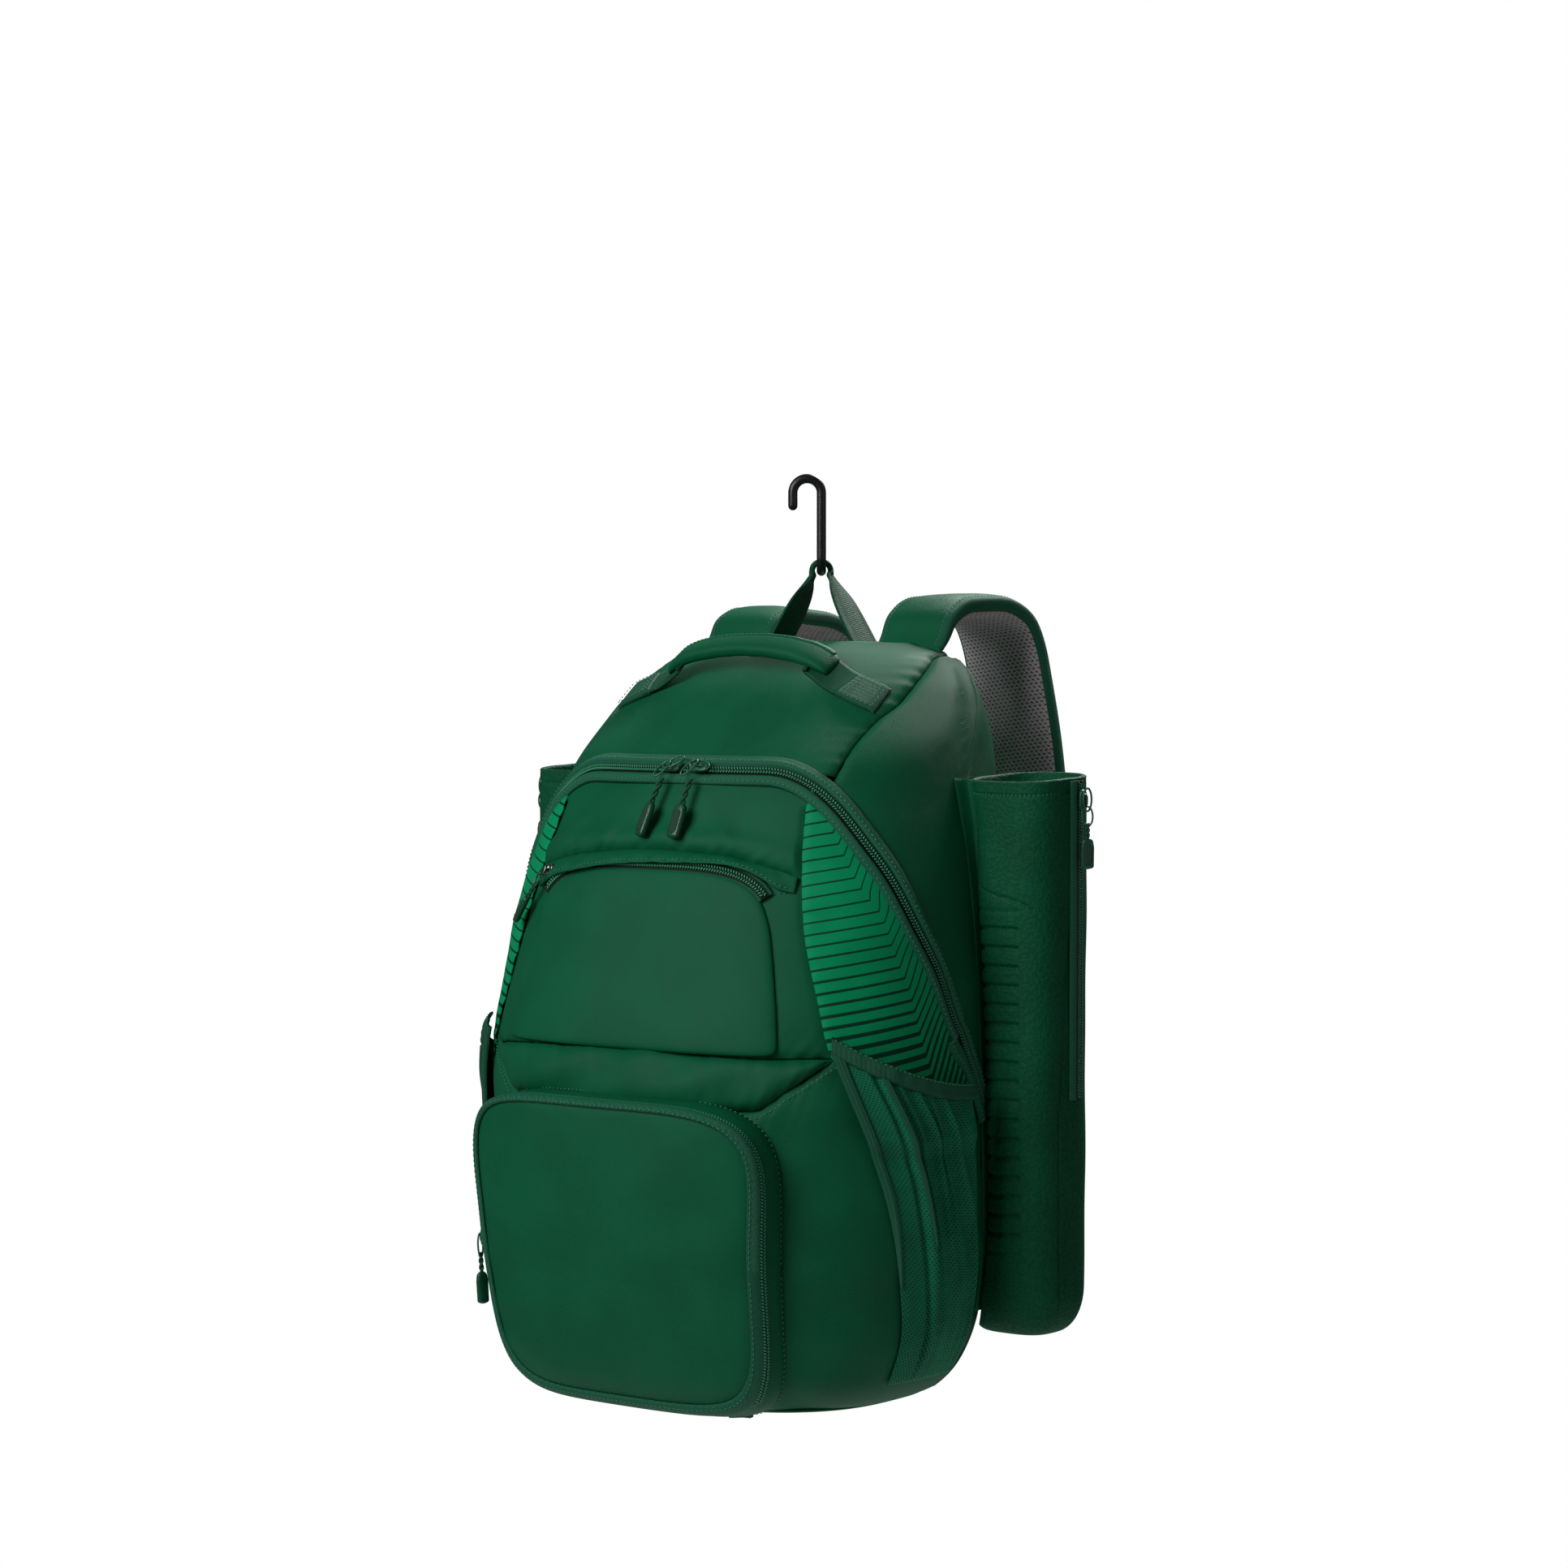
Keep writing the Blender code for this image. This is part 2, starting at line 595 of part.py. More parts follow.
def pocket_outline(bottom, top, width, roundness, taper, angle, extra=0.0):
    """Side and height of a pocket's outline at an angle round its middle, grown by extra."""
    c, s = np.cos(angle), np.sin(angle)
    across = np.sign(c) * np.abs(c) ** (2 / roundness)
    up = np.sign(s) * np.abs(s) ** (2 / roundness)
    narrow = 1 - taper * ((1 - up) / 2) ** 2
    return (width / 2 * narrow + extra) * across, ((top - bottom) / 2 + extra) * up


def even_angles(bottom, top, width, roundness, taper, start, end, count):
    """Angles between two turns round a pocket at which its outline's points lie evenly spaced."""
    fine = np.linspace(start, end, 4000) * 2 * np.pi
    x, z = pocket_outline(bottom, top, width, roundness, taper, fine)
    length = np.concatenate([[0], np.cumsum(np.hypot(np.diff(x), np.diff(z)))])
    return np.interp(np.linspace(0, length[-1], count), length, fine)


def lower_depth(z):
    """The lower pocket's depth at height z, as a share of its full depth."""
    share = np.clip((z - LOWER_BOTTOM) / (LOWER_TOP - LOWER_BOTTOM) / LOWER_FULL, 0, 1)
    return LOWER_FOOT + (1 - LOWER_FOOT) * share * (2 - share)


def make_pocket(name, bottom, top, width, depth, roundness, taper, columns, fade=np.ones_like):
    """A pocket's shell: a dome over the flap that is open towards it, its depth fading with height."""
    angle = even_angles(bottom, top, width, roundness, taper, 0, 1, columns + 1)[:-1]
    reach = np.array(POCKET_RINGS)[:, None]
    swell = np.sqrt(np.clip(1 - reach ** POCKET_EDGE, 0, 1))
    shells = []
    for wall in (0.0, POCKET_WALL):
        x, z = pocket_outline(bottom, top, width, roundness, taper, angle, -wall)
        x, z = reach * x, (bottom + top) / 2 + reach * z
        lift = POCKET_SEAT + (depth * fade(z) - wall) * swell
        shells.append(body.lifted(turn_at_x(x, z), z, lift))
    return cup(name, *shells, FABRIC)


def make_upper_pocket():
    """The raised pocket, its zip, and the hood that hangs over the zip."""
    top = UPPER_TOP - UPPER_ZIP_WIDTH - HOOD_DROP / 2
    make_pocket("upper_pocket", UPPER_BOTTOM, top, UPPER_WIDTH, UPPER_DEPTH, UPPER_ROUND, 0.0,
                POCKET_COLUMNS)
    share = np.linspace(-1, 1, HOOD_COLUMNS)
    x = share * UPPER_WIDTH / 2
    z = UPPER_TOP - UPPER_ZIP_WIDTH / 2 - HOOD_DROP * np.abs(share) ** HOOD_BEND
    run = slice(HOOD_END_COLUMNS, -HOOD_END_COLUMNS)
    tape("upper_zip", body, turn_at_x(x, z)[run], z[run], UPPER_ZIP_WIDTH - 2 * SEAT, SEAT, ZIP_THICK,
         WEBBING, strands=2)
    rows = np.linspace(0, 1, 4)[:, None]
    z = z + UPPER_ZIP_WIDTH / 2
    above = z + HOOD_HEIGHT * rows
    lift = SEAT + HOOD_DEPTH * (1 - rows ** 2) + 0 * above
    turn = turn_at_x(x + 0 * above, above)
    sheet("pocket_hood", body.lifted(turn, above, lift + POCKET_WALL),
          body.lifted(turn, above, lift), FABRIC)
    place_x = -UPPER_SLIDER * UPPER_WIDTH / 2
    place_z = UPPER_TOP - UPPER_ZIP_WIDTH / 2 - HOOD_DROP * UPPER_SLIDER ** HOOD_BEND
    turn = float(turn_at_x(np.array(place_x), np.array(place_z)))
    make_slider("upper_zip", "", body, turn, place_z, (UPPER_WIDTH / 2, 0, HOOD_DROP),
                SEAT + ZIP_THICK + GAP, SMALL_PULL_LENGTH, -UPPER_PULL_LEAN)


def make_lower_pocket():
    """The large pocket, with its zip slanting from the flap up to the face round its sides and top."""
    top = LOWER_TOP - LOWER_ZIP_SPLAY - 2 * SEAT - ZIP_THICK
    outline = (LOWER_WIDTH, LOWER_ROUND, LOWER_TAPER)
    make_pocket("lower_pocket", LOWER_BOTTOM, top, LOWER_WIDTH, LOWER_DEPTH, LOWER_ROUND, LOWER_TAPER,
                POCKET_COLUMNS, lower_depth)
    angle = even_angles(LOWER_BOTTOM, top, *outline, *LOWER_ZIP_ENDS, POCKET_COLUMNS)
    rise = np.linspace(0, 1, 3)[:, None]
    middle = (LOWER_BOTTOM + top) / 2

    def band(thick):
        extra = 2 * SEAT + LOWER_ZIP_SPLAY * (1 - rise) + thick
        x, z = pocket_outline(LOWER_BOTTOM, top, *outline, angle, extra)
        lift = SEAT + LOWER_ZIP_RISE * lower_depth(middle + z) * rise + thick
        return body.lifted(turn_at_x(x, middle + z), middle + z, lift)
    sheet("lower_zip", band(ZIP_THICK), band(0.0), WEBBING)
    beside = -(LOWER_WIDTH / 2 + 2 * SEAT + LOWER_ZIP_SPLAY + ZIP_THICK + 2 * GAP + SLIDER_WIDTH / 2)
    turn = float(turn_at_x(np.array(beside), np.array(middle)))
    make_slider("lower_zip", "", body, turn, middle, (0, 0, 1), GAP, SMALL_PULL_LENGTH)


def make_print_panel(side, sign):
    """The bright panel between the pockets and the zip, widest at its foot."""
    rows = np.linspace(0, 1, 10)[:, None]
    z = PANEL_BOTTOM + (PANEL_TOP - PANEL_BOTTOM) * rows
    inner_edge = table_column(PANEL_EDGE, PANEL_COLUMNS, "side", rows) * UPPER_WIDTH / 2
    start = turn_at_x(inner_edge, z)
    turns, heights = zip_path()
    beside = body.beside(turns, heights, [ZIP_TAPE / 2 + 2 * SEAT])
    tape_edge, tape_z = (grid[:ZIP_STATIONS, 0] for grid in beside)
    end = np.interp(z, tape_z, tape_edge)
    turn = start + (end - start) * np.linspace(0, 1, 8)[None, :]
    sheet(f"print_panel_{side}", body.lifted(sign * turn, z, SEAT + PANEL_THICK),
          body.lifted(sign * turn, z, SEAT), PRINT)


def make_mesh_pocket(side, sign):
    """A gathered pocket at the bottom corner, open at the top, with a band along its mouth."""
    rows = np.linspace(0, 1, 9)[:, None] ** MESH_ROWS
    across = np.linspace(0, 1, 11)[None, :]
    front = table_column(MESH_EDGE, MESH_COLUMNS, "turn", rows)
    level = MESH_BOTTOM + (MESH_TOP_BACK - MESH_BOTTOM) * rows
    back = turn_at_y(SLEEVE_MIDDLE - SLEEVE_DEPTH_TOP / 2 - ZIP_TAPE / 2, level)
    turn = front + (back - front) * across
    mouth = MESH_TOP_FRONT + (MESH_TOP_BACK - MESH_TOP_FRONT) * (1 - (1 - across) ** MESH_FULL)
    z = MESH_BOTTOM + (mouth - MESH_BOTTOM) * rows
    grown = np.clip(rows * MESH_FULL, 0, 1) * np.pi / 2
    bulge = MESH_BULGE * np.sin(np.pi * across) ** MESH_SIDES * np.sin(grown) ** MESH_FOOT
    under = POCKET_SEAT + (ZIP_THICK + SEAT) * np.clip((z - ZIP_END) / BAND_WIDTH + 2, 0, 1)
    lift = under + bulge
    sheet(f"mesh_pocket_{side}", body.lifted(sign * turn, z, lift + MESH_WALL),
          body.lifted(sign * turn, z, lift), MESH)
    z = mouth + np.linspace(0, 1, 2)[:, None] * BAND_WIDTH + GAP
    turn, lift = turn[-1:] + 0 * z, lift[-1:] + 0 * z
    sheet(f"mesh_band_{side}", body.lifted(sign * turn, z, lift + BAND_THICK),
          body.lifted(sign * turn, z, lift), WEBBING)


def sleeve_surface(sign, inset=0.0):
    """The sleeve's skin: a rounded tube that leans on the bag's side, over the main zip's tape."""
    def point(angle, z):
        angle, z = np.broadcast_arrays(np.asarray(angle, float), np.asarray(z, float))
        share = (z - SLEEVE_BOTTOM) / (SLEEVE_TOP - SLEEVE_BOTTOM)
        toe = np.clip((z - SLEEVE_BOTTOM) / SLEEVE_TOE, 0, 1)
        rounding = SLEEVE_SOLE + (1 - SLEEVE_SOLE) * np.sqrt(1 - (1 - toe) ** 2)
        seat = 2 * SEAT + ZIP_THICK
        beside = side_at_y(np.full_like(z, SLEEVE_MIDDLE), z) + seat
        outer = BODY_WIDTH / 2 + SLEEVE_PROUD
        half_x = (outer - beside) / 2 * rounding - inset
        depth = SLEEVE_DEPTH_BOTTOM + (SLEEVE_DEPTH_TOP - SLEEVE_DEPTH_BOTTOM) * share
        half_y = depth / 2 * rounding - inset
        c, s = np.cos(angle), np.sin(angle)
        x = (outer + beside) / 2 + half_x * np.sign(c) * np.abs(c) ** (2 / SLEEVE_ROUND)
        y = SLEEVE_MIDDLE + half_y * np.sign(s) * np.abs(s) ** (2 / SLEEVE_ROUND)
        x = np.maximum(x, side_at_y(y, z) + seat + inset)
        return np.stack([x * sign, y, z], -1)
    return point


def make_sleeve(side, sign):
    """A bat sleeve: open at the top, rounded at its foot, with a zip down its outer edge."""
    angle = (np.arange(SLEEVE_COLUMNS) + 0.5) * 2 * np.pi / SLEEVE_COLUMNS
    toe = np.array(TOE_ROWS) * SLEEVE_TOE
    up = np.linspace(SLEEVE_BOTTOM + SLEEVE_TOE, SLEEVE_TOP, 8)[1:]
    z = np.concatenate([SLEEVE_BOTTOM + toe, up])[:, None]
    inner_z = np.concatenate([[SLEEVE_BOTTOM + SLEEVE_WALL], z[2:, 0]])[:, None]
    cup(f"bat_sleeve_{side}", sleeve_surface(sign)(angle, z),
        sleeve_surface(sign, SLEEVE_WALL)(angle, inner_z), NEOPRENE)
    skin = Surface(sleeve_surface(sign))
    z = np.linspace(SLEEVE_ZIP_END, SLEEVE_TOP, 6)
    u = np.full(len(z), SLEEVE_ZIP_ANGLE)
    offsets = np.linspace(-0.5, 0.5, 4) * SLEEVE_ZIP_WIDTH
    grid_u, grid_z = skin.beside(u, z, offsets)
    grid_z = np.minimum(grid_z, SLEEVE_TOP)
    sheet(f"sleeve_zip_{side}", skin.lifted(grid_u, grid_z, sign * (SEAT + ZIP_THICK)),
          skin.lifted(grid_u, grid_z, sign * SEAT), WEBBING)
    outward = Surface(lambda angle, height: sleeve_surface(sign)(sign * angle, height))
    make_slider("sleeve_zip", side, outward, sign * SLEEVE_ZIP_ANGLE, SLEEVE_TOP - SLIDER_LENGTH,
                (0, 0, 1), SEAT + ZIP_THICK + GAP, SMALL_PULL_LENGTH)


def make_hook():
    """A round rod with an open bend at each end, the two a quarter turn apart."""
    across, ahead = hook_ways()
    stem = hook_stem()
    up = np.array((0, 0, 1.0))
    bend = np.linspace(0, np.pi, 11)[:, None]
    head, foot = HOOK_HEAD - HOOK_BEND, HOOK_FOOT + HOOK_BEND
    high = stem + up * head - across * HOOK_BEND * (1 - np.cos(bend)) + up * HOOK_BEND * np.sin(bend)
    low = stem + up * foot + ahead * HOOK_BEND * (1 - np.cos(bend)) - up * HOOK_BEND * np.sin(bend)
    points = np.concatenate([[high[-1] - up * HOOK_TIP], high[::-1], low, [low[-1] + up * HOOK_TIP]])
    curve = bpy.data.curves.new("fence_hook", "CURVE")
    curve.dimensions = "3D"
    curve.bevel_depth = HOOK_ROD / 2
    curve.bevel_resolution = 2
    curve.use_fill_caps = True
    spline = curve.splines.new("POLY")
    spline.points.add(len(points) - 1)
    for target, point in zip(spline.points, points):
        target.co = (*point, 1)
    curve.materials.append(finish("fence_hook", STEEL))
    place(bpy.data.objects.new("fence_hook", curve))


def make_haul_loop():
    """Webbing from the body's top, over the hook's lower bend and back, folded and turned at the bend."""
    across, ahead = hook_ways()
    thick = 2 * WEBBING_THICK
    folded = LOOP_WIDTH * LOOP_FOLD
    saddle = HOOK_BEND - np.sqrt(HOOK_BEND ** 2 - (folded / 2) ** 2)
    radius = HOOK_ROD / 2 + 2 * GAP + saddle + thick / 2
    bend = np.radians(np.linspace(180 + LOOP_WRAP, -LOOP_WRAP, 10))[:, None]
    over = across * radius * np.cos(bend) + np.array((0, 0, 1.0)) * (HOOK_FOOT + radius * np.sin(bend))
    share = np.linspace(0, 1, 6)[:-1, None]
    legs = []
    for sign, end in ((-1, over[0]), (1, over[-1])):
        foot = np.array((sign * LOOP_SPREAD / 2, 0, BODY_HEIGHT + GAP + WEBBING_THICK / 2))
        legs.append(foot + (end - foot) * share)
    line = np.concatenate([legs[0], over, legs[1][::-1]])
    rise = np.clip((line[:, 2] - BODY_HEIGHT) / (HOOK_FOOT - BODY_HEIGHT), 0, 1)
    side = np.array((0, 1.0, 0)) * (1 - rise[:, None]) + ahead * rise[:, None]
    width = LOOP_WIDTH + (folded - LOOP_WIDTH) * rise ** 2
    depth = WEBBING_THICK + (thick - WEBBING_THICK) * rise ** 2
    bar("haul_loop", swept(line, side, width, depth, SQUARE), WEBBING)


def make_grab_handle():
    """A padded handle that stands off the forehead, on webbing sewn down beside it."""
    x = np.linspace(-0.5, 0.5, 12) * HANDLE_LENGTH
    bow = 1 - (2 * x / HANDLE_LENGTH) ** 2
    z = HANDLE_HEIGHT - HANDLE_DROP * (1 - bow)
    turn = turn_at_x(x, z)
    thick = HANDLE_THICK * (1 - HANDLE_THINNING * (1 - bow) ** 3)
    base = SEAT + WEBBING_THICK + GAP + thick / 2
    centres = body.lifted(turn, z, base + HANDLE_STANDOFF * np.sqrt(bow))
    along = np.gradient(centres, axis=0)
    side = np.cross(body.normal(turn, z), along)
    bar("grab_handle", swept(centres, side, HANDLE_WIDTH, thick, rounded_ring(8, 3)), FABRIC)
    for side_name, sign in SIDES:
        share = np.linspace(0, 1, 6)
        reach = HANDLE_LENGTH / 2 - HANDLE_LAP + (HANDLE_LAP + PATCH_REACH) * share
        down = HANDLE_HEIGHT - HANDLE_DROP - PATCH_DROP * share ** 1.2
        tape(f"handle_webbing_{side_name}", body, sign * turn_at_x(reach, down), down, LOOP_WIDTH, SEAT,
             WEBBING_THICK, WEBBING)


def strap_line(side, sign):
    """Centres, width ways and widths of the padded strap, from its root to its lower end."""
    along = np.linspace(0, 1, STRAP_STATIONS)
    back, height, out, width = (
        table_column(STRAP_LINE, STRAP_COLUMNS, name, along) for name in STRAP_COLUMNS[1:])
    root = SEAT + STRAP_ENDS[0][1] * STRAP_THICK / 2
    sag = STRAP_DROOP[side] * np.sin(np.pi * np.clip(along / STRAP_TOP, 0, 1)) ** 2
    z = BODY_HEIGHT + root + height * BODY_HEIGHT - sag
    centres = np.stack([sign * out * STRAP_SPREAD / 2, back * STRAP_REACH, z], -1)
    return centres, (1.0, 0.0, 0.0), width * STRAP_WIDTH


def make_shoulder_strap(side, sign):
    """A padded strap that rises over the back, and the buckle, webbing and anchor at its lower end."""
    centres, side_way, widths = strap_line(side, sign)
    thick = STRAP_THICK * np.interp(np.linspace(0, 1, len(centres)), *np.array(STRAP_ENDS).T)
    bar(f"shoulder_strap_{side}", swept(centres, side_way, widths, thick, rounded_ring(8, 4)), FABRIC)
    end = centres[-1]
    down = end - centres[-2]
    down /= np.linalg.norm(down)
    across = np.array(side_way) - down[0] * down
    across /= np.linalg.norm(across)
    top = end + down * GAP
    buckle_line = top + down * np.array([[0.0], [1.0]]) * BUCKLE_HEIGHT
    rings = swept(buckle_line, across, BUCKLE_WIDTH, BUCKLE_THICK, SQUARE)
    buckle = bar(f"strap_buckle_{side}", rings, PLASTIC)
    slot = top + down * np.array(BUCKLE_SLOT)[:, None] * BUCKLE_HEIGHT
    rings = swept(slot, across, LOOP_WIDTH + 2 * GAP, 3 * BUCKLE_THICK, SQUARE)
    carve(buckle, bar(f"buckle_window_{side}", rings, PLASTIC), "DIFFERENCE")
    foot_turn = np.array(sign * ANCHOR_TURN)
    tab_z = ANCHOR_HEIGHT + ANCHOR_LENGTH * np.linspace(-0.5, 0.5, 4)
    tape(f"strap_anchor_{side}", body, np.full(4, foot_turn), tab_z, LOOP_WIDTH + 2 * GAP, SEAT,
         2 * WEBBING_THICK, WEBBING)
    start = buckle_line[-1] + down * GAP
    out = body.normal(foot_turn, np.array(tab_z[-1]))
    climb = body.tangents(foot_turn, np.array(tab_z[-1]))[1]
    climb /= np.linalg.norm(climb)
    sewn = body.lifted(foot_turn, tab_z[-1], SEAT + WEBBING_THICK) + climb * GAP
    bent = sewn + climb * 2 * WEBBING_THICK
    freed = start + down * 2 * WEBBING_THICK
    pull = np.linalg.norm(bent - freed) / 3
    bezier = np.linspace(0, 1, 8)[:, None]
    line = ((1 - bezier) ** 3 * freed + 3 * (1 - bezier) ** 2 * bezier * (freed + down * pull)
            + 3 * (1 - bezier) * bezier ** 2 * (bent + climb * pull) + bezier ** 3 * bent)
    line = np.concatenate([[start], line, [sewn]])
    bezier = np.concatenate([bezier[:1], bezier, bezier[-1:]])
    way = across + (np.cross((0, 0, 1.0), out) * -1 - across) * bezier
    bar(f"lower_webbing_{side}", swept(line, way, LOOP_WIDTH, WEBBING_THICK, SQUARE), WEBBING)


def make_base_tab():
    """The small tab sewn under the lower pocket."""
    turn = turn_at_x(np.array(TAB_PLACE), np.array(LOWER_BOTTOM))
    z = LOWER_BOTTOM - SEAT - np.linspace(0, 1, 4) * TAB_LENGTH
    tape("base_tab", body, np.full(4, turn), z, TAB_WIDTH, SEAT, WEBBING_THICK, WEBBING, strands=2)


for old in list(bpy.data.objects):
    bpy.data.objects.remove(old, do_unlink=True)
anchor = bpy.data.objects.new("hang_point", None)
bpy.context.scene.collection.objects.link(anchor)
anchor.location = Vector(-hang_point())
bpy.context.view_layer.update()

make_body()
make_main_zip()
make_upper_pocket()
make_lower_pocket()
for side, sign in SIDES:
    make_print_panel(side, sign)
    make_mesh_pocket(side, sign)
    make_sleeve(side, sign)
    make_shoulder_strap(side, sign)
make_grab_handle()
make_haul_loop()
make_hook()
make_base_tab()
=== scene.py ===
"""Looks of the baseball bat backpack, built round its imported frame.

Bag coordinates are used throughout: x to the right as seen from the front, y to the back and z up
from the base, with y = 0 under the haul loop. ORIGIN carries them to the frame.
"""
import json

import bpy
import numpy as np
from mathutils import Matrix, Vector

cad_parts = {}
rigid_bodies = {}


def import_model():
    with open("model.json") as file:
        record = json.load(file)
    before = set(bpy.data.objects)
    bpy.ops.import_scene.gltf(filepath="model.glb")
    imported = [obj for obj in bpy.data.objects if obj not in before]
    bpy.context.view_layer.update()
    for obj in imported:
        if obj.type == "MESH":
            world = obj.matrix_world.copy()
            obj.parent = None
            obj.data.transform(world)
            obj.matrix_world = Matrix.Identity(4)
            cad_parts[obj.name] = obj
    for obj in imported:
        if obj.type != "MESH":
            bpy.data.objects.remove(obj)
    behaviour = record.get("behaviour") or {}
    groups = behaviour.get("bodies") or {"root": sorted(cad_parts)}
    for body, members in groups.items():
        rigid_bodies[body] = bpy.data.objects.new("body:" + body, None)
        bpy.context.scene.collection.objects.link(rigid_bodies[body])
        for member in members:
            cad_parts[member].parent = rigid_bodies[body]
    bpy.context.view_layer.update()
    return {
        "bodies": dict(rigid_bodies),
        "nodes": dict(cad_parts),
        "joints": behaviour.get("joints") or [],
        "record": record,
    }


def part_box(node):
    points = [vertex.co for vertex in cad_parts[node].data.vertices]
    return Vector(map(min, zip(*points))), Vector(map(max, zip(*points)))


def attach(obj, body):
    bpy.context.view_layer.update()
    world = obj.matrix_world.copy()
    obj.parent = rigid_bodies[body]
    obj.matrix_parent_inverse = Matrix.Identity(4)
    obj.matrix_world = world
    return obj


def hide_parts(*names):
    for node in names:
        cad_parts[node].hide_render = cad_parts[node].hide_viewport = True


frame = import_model()

# The studio: the photograph's viewing angle, one large soft light high on the left, one above and
# behind that brightens the top, and a weak one on the right, in a white room with a pale floor.
shell_low, shell_high = (np.array(corner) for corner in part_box("main_shell"))
BODY_WIDTH, _, BODY_HEIGHT = shell_high - shell_low
BODY_FRONT, BODY_BACK = 0.226, 0.036
ORIGIN = np.array(((shell_low[0] + shell_high[0]) / 2, shell_high[1] - BODY_BACK, shell_low[2]))

PHOTO_SIDE = 1932
FOCAL = 4873                # pixels of the photograph
EYE = (37.0, 2.73, 0.500)   # degrees round from the front, distance and height
LOOP_LINE, HORIZON = 1012, 790      # column of the loop's line and row of the eye's height

eye_turn = np.radians(EYE[0])
eye = np.array((EYE[1] * np.sin(eye_turn), -EYE[1] * np.cos(eye_turn), EYE[2]))
yaw = eye_turn + np.arctan((LOOP_LINE - PHOTO_SIDE / 2) / FOCAL)
pitch = np.arctan((PHOTO_SIDE / 2 - HORIZON) / FOCAL)
look = np.array((-np.sin(yaw) * np.cos(pitch), np.cos(yaw) * np.cos(pitch), -np.sin(pitch)))
right = np.array((np.cos(yaw), np.sin(yaw), 0))
upward = np.cross(right, look)


def set_up(thing, place, ways):
    """Puts a camera or light at a place, with its right, up and back ways."""
    matrix = np.eye(4)
    matrix[:3, :3] = np.transpose(ways)
    matrix[:3, 3] = place
    bpy.context.scene.collection.objects.link(thing)
    thing.matrix_world = Matrix(matrix.tolist())


camera = bpy.data.objects.new("camera", bpy.data.cameras.new("camera"))
camera.data.sensor_width = 36
camera.data.lens = 36 * FOCAL / PHOTO_SIDE
set_up(camera, eye + ORIGIN, (right, upward, -look))
bpy.context.scene.camera = camera
bpy.context.scene.view_settings.view_transform = "Standard"

LIGHTS = {  # way from the bag as right, up and towards the eye; size; watts
    "key_light": ((-1.35, 0.95, 1.25), 1.2, 33),
    "top_light": ((0.80, 1.55, -1.20), 0.9, 58),
    "fill_light": ((1.80, 0.50, 1.10), 1.6, 3),
}
bag_middle = ORIGIN + (0, -0.08, 0.30)
for name, (way, size, watts) in LIGHTS.items():
    lamp = bpy.data.lights.new(name, "AREA")
    lamp.size, lamp.energy = size, watts
    place = bag_middle + right * way[0] + upward * way[1] - look * way[2]
    back = (place - bag_middle) / np.linalg.norm(place - bag_middle)
    side = np.cross(upward, back) / np.linalg.norm(np.cross(upward, back))
    set_up(bpy.data.objects.new(name, lamp), place, (side, np.cross(back, side), back))


class Wire:
    """A shader value that takes part in sums; every step adds one Math node."""

    def __init__(self, finish, socket):
        self.finish, self.socket = finish, socket

    def math(self, operation, *values):
        return self.finish.node("ShaderNodeMath", {"operation": operation}, dict(enumerate(values)))

    def __add__(self, other):
        return self.math("ADD", self, other)

    def __sub__(self, other):
        return self.math("SUBTRACT", self, other)

    def __rsub__(self, other):
        return self.math("SUBTRACT", other, self)

    def __mul__(self, other):
        return self.math("MULTIPLY", self, other)

    def __truediv__(self, other):
        return self.math("DIVIDE", self, other)

    __radd__ = __add__
    __rmul__ = __mul__

    def wave(self):
        """Half a unit plus half a sine, once for every unit of this value."""
        return self.math("SINE", self * (2 * np.pi)) * 0.5 + 0.5

    def zigzag(self):
        """Distance to the nearest whole number, from 0 to 0.5."""
        return self.math("PINGPONG", self, 0.5)

    def step(self, low, high):
        """Rises smoothly from 0 to 1 as this value goes from low to high."""
        return self.finish.node("ShaderNodeMapRange", {"interpolation_type": "SMOOTHSTEP"},
                                {"Value": self, "From Min": low, "From Max": high})


class Finish:
    """A Principled material: constant sockets first, then nodes that feed the ones that vary."""

    def __init__(self, name, sockets):
        self.material = bpy.data.materials.new(name)
        self.material.use_nodes = True
        self.tree = self.material.node_tree
        self.shader = self.tree.nodes["Principled BSDF"]
        self.feed(self.shader, sockets)

    def feed(self, node, sockets):
        for key, value in sockets.items():
            socket = node.inputs[key]
            if isinstance(value, Wire):
                self.tree.links.new(value.socket, socket)
            else:
                colour = np.ndim(value) and len(socket.default_value) == 4
                socket.default_value = (*value, 1) if colour else value

    def node(self, kind, settings=(), sockets=(), out=0):
        """Adds any node: its settings, then the values or wires of its sockets, and gives one output."""
        node = self.tree.nodes.new(kind)
        for key, value in dict(settings).items():
            setattr(node, key, value)
        self.feed(node, dict(sockets))
        return Wire(self, node.outputs[out])

    def split(self, vector):
        """The three parts of a vector."""
        node = self.tree.nodes.new("ShaderNodeSeparateXYZ")
        self.tree.links.new(vector.socket, node.inputs[0])
        return [Wire(self, output) for output in node.outputs]

    def cloth(self):
        """Metres along and up the cloth, from the piece's own map."""
        return self.split(self.node("ShaderNodeUVMap", {"uv_map": "cloth"}))[:2]

    def place(self):
        return self.node("ShaderNodeTexCoord", out=3)

    def noise(self, size, detail=2.0, where=None):
        """Soft noise between about 0.3 and 0.7, whose grains are about that many metres across."""
        return self.node("ShaderNodeTexNoise", {}, {"Vector": where or self.place(), "Scale": 1 / size,
                                                   "Detail": detail})

    def mix(self, share, first, second):
        return self.node("ShaderNodeMix", {"data_type": "RGBA"}, {0: share, 6: first, 7: second}, out=2)

    def relief(self, height, depth):
        """Raises the surface by height times depth in metres."""
        bump = self.node("ShaderNodeBump", {}, {"Height": height, "Distance": depth, "Strength": 1.0})
        self.feed(self.shader, {"Normal": bump})


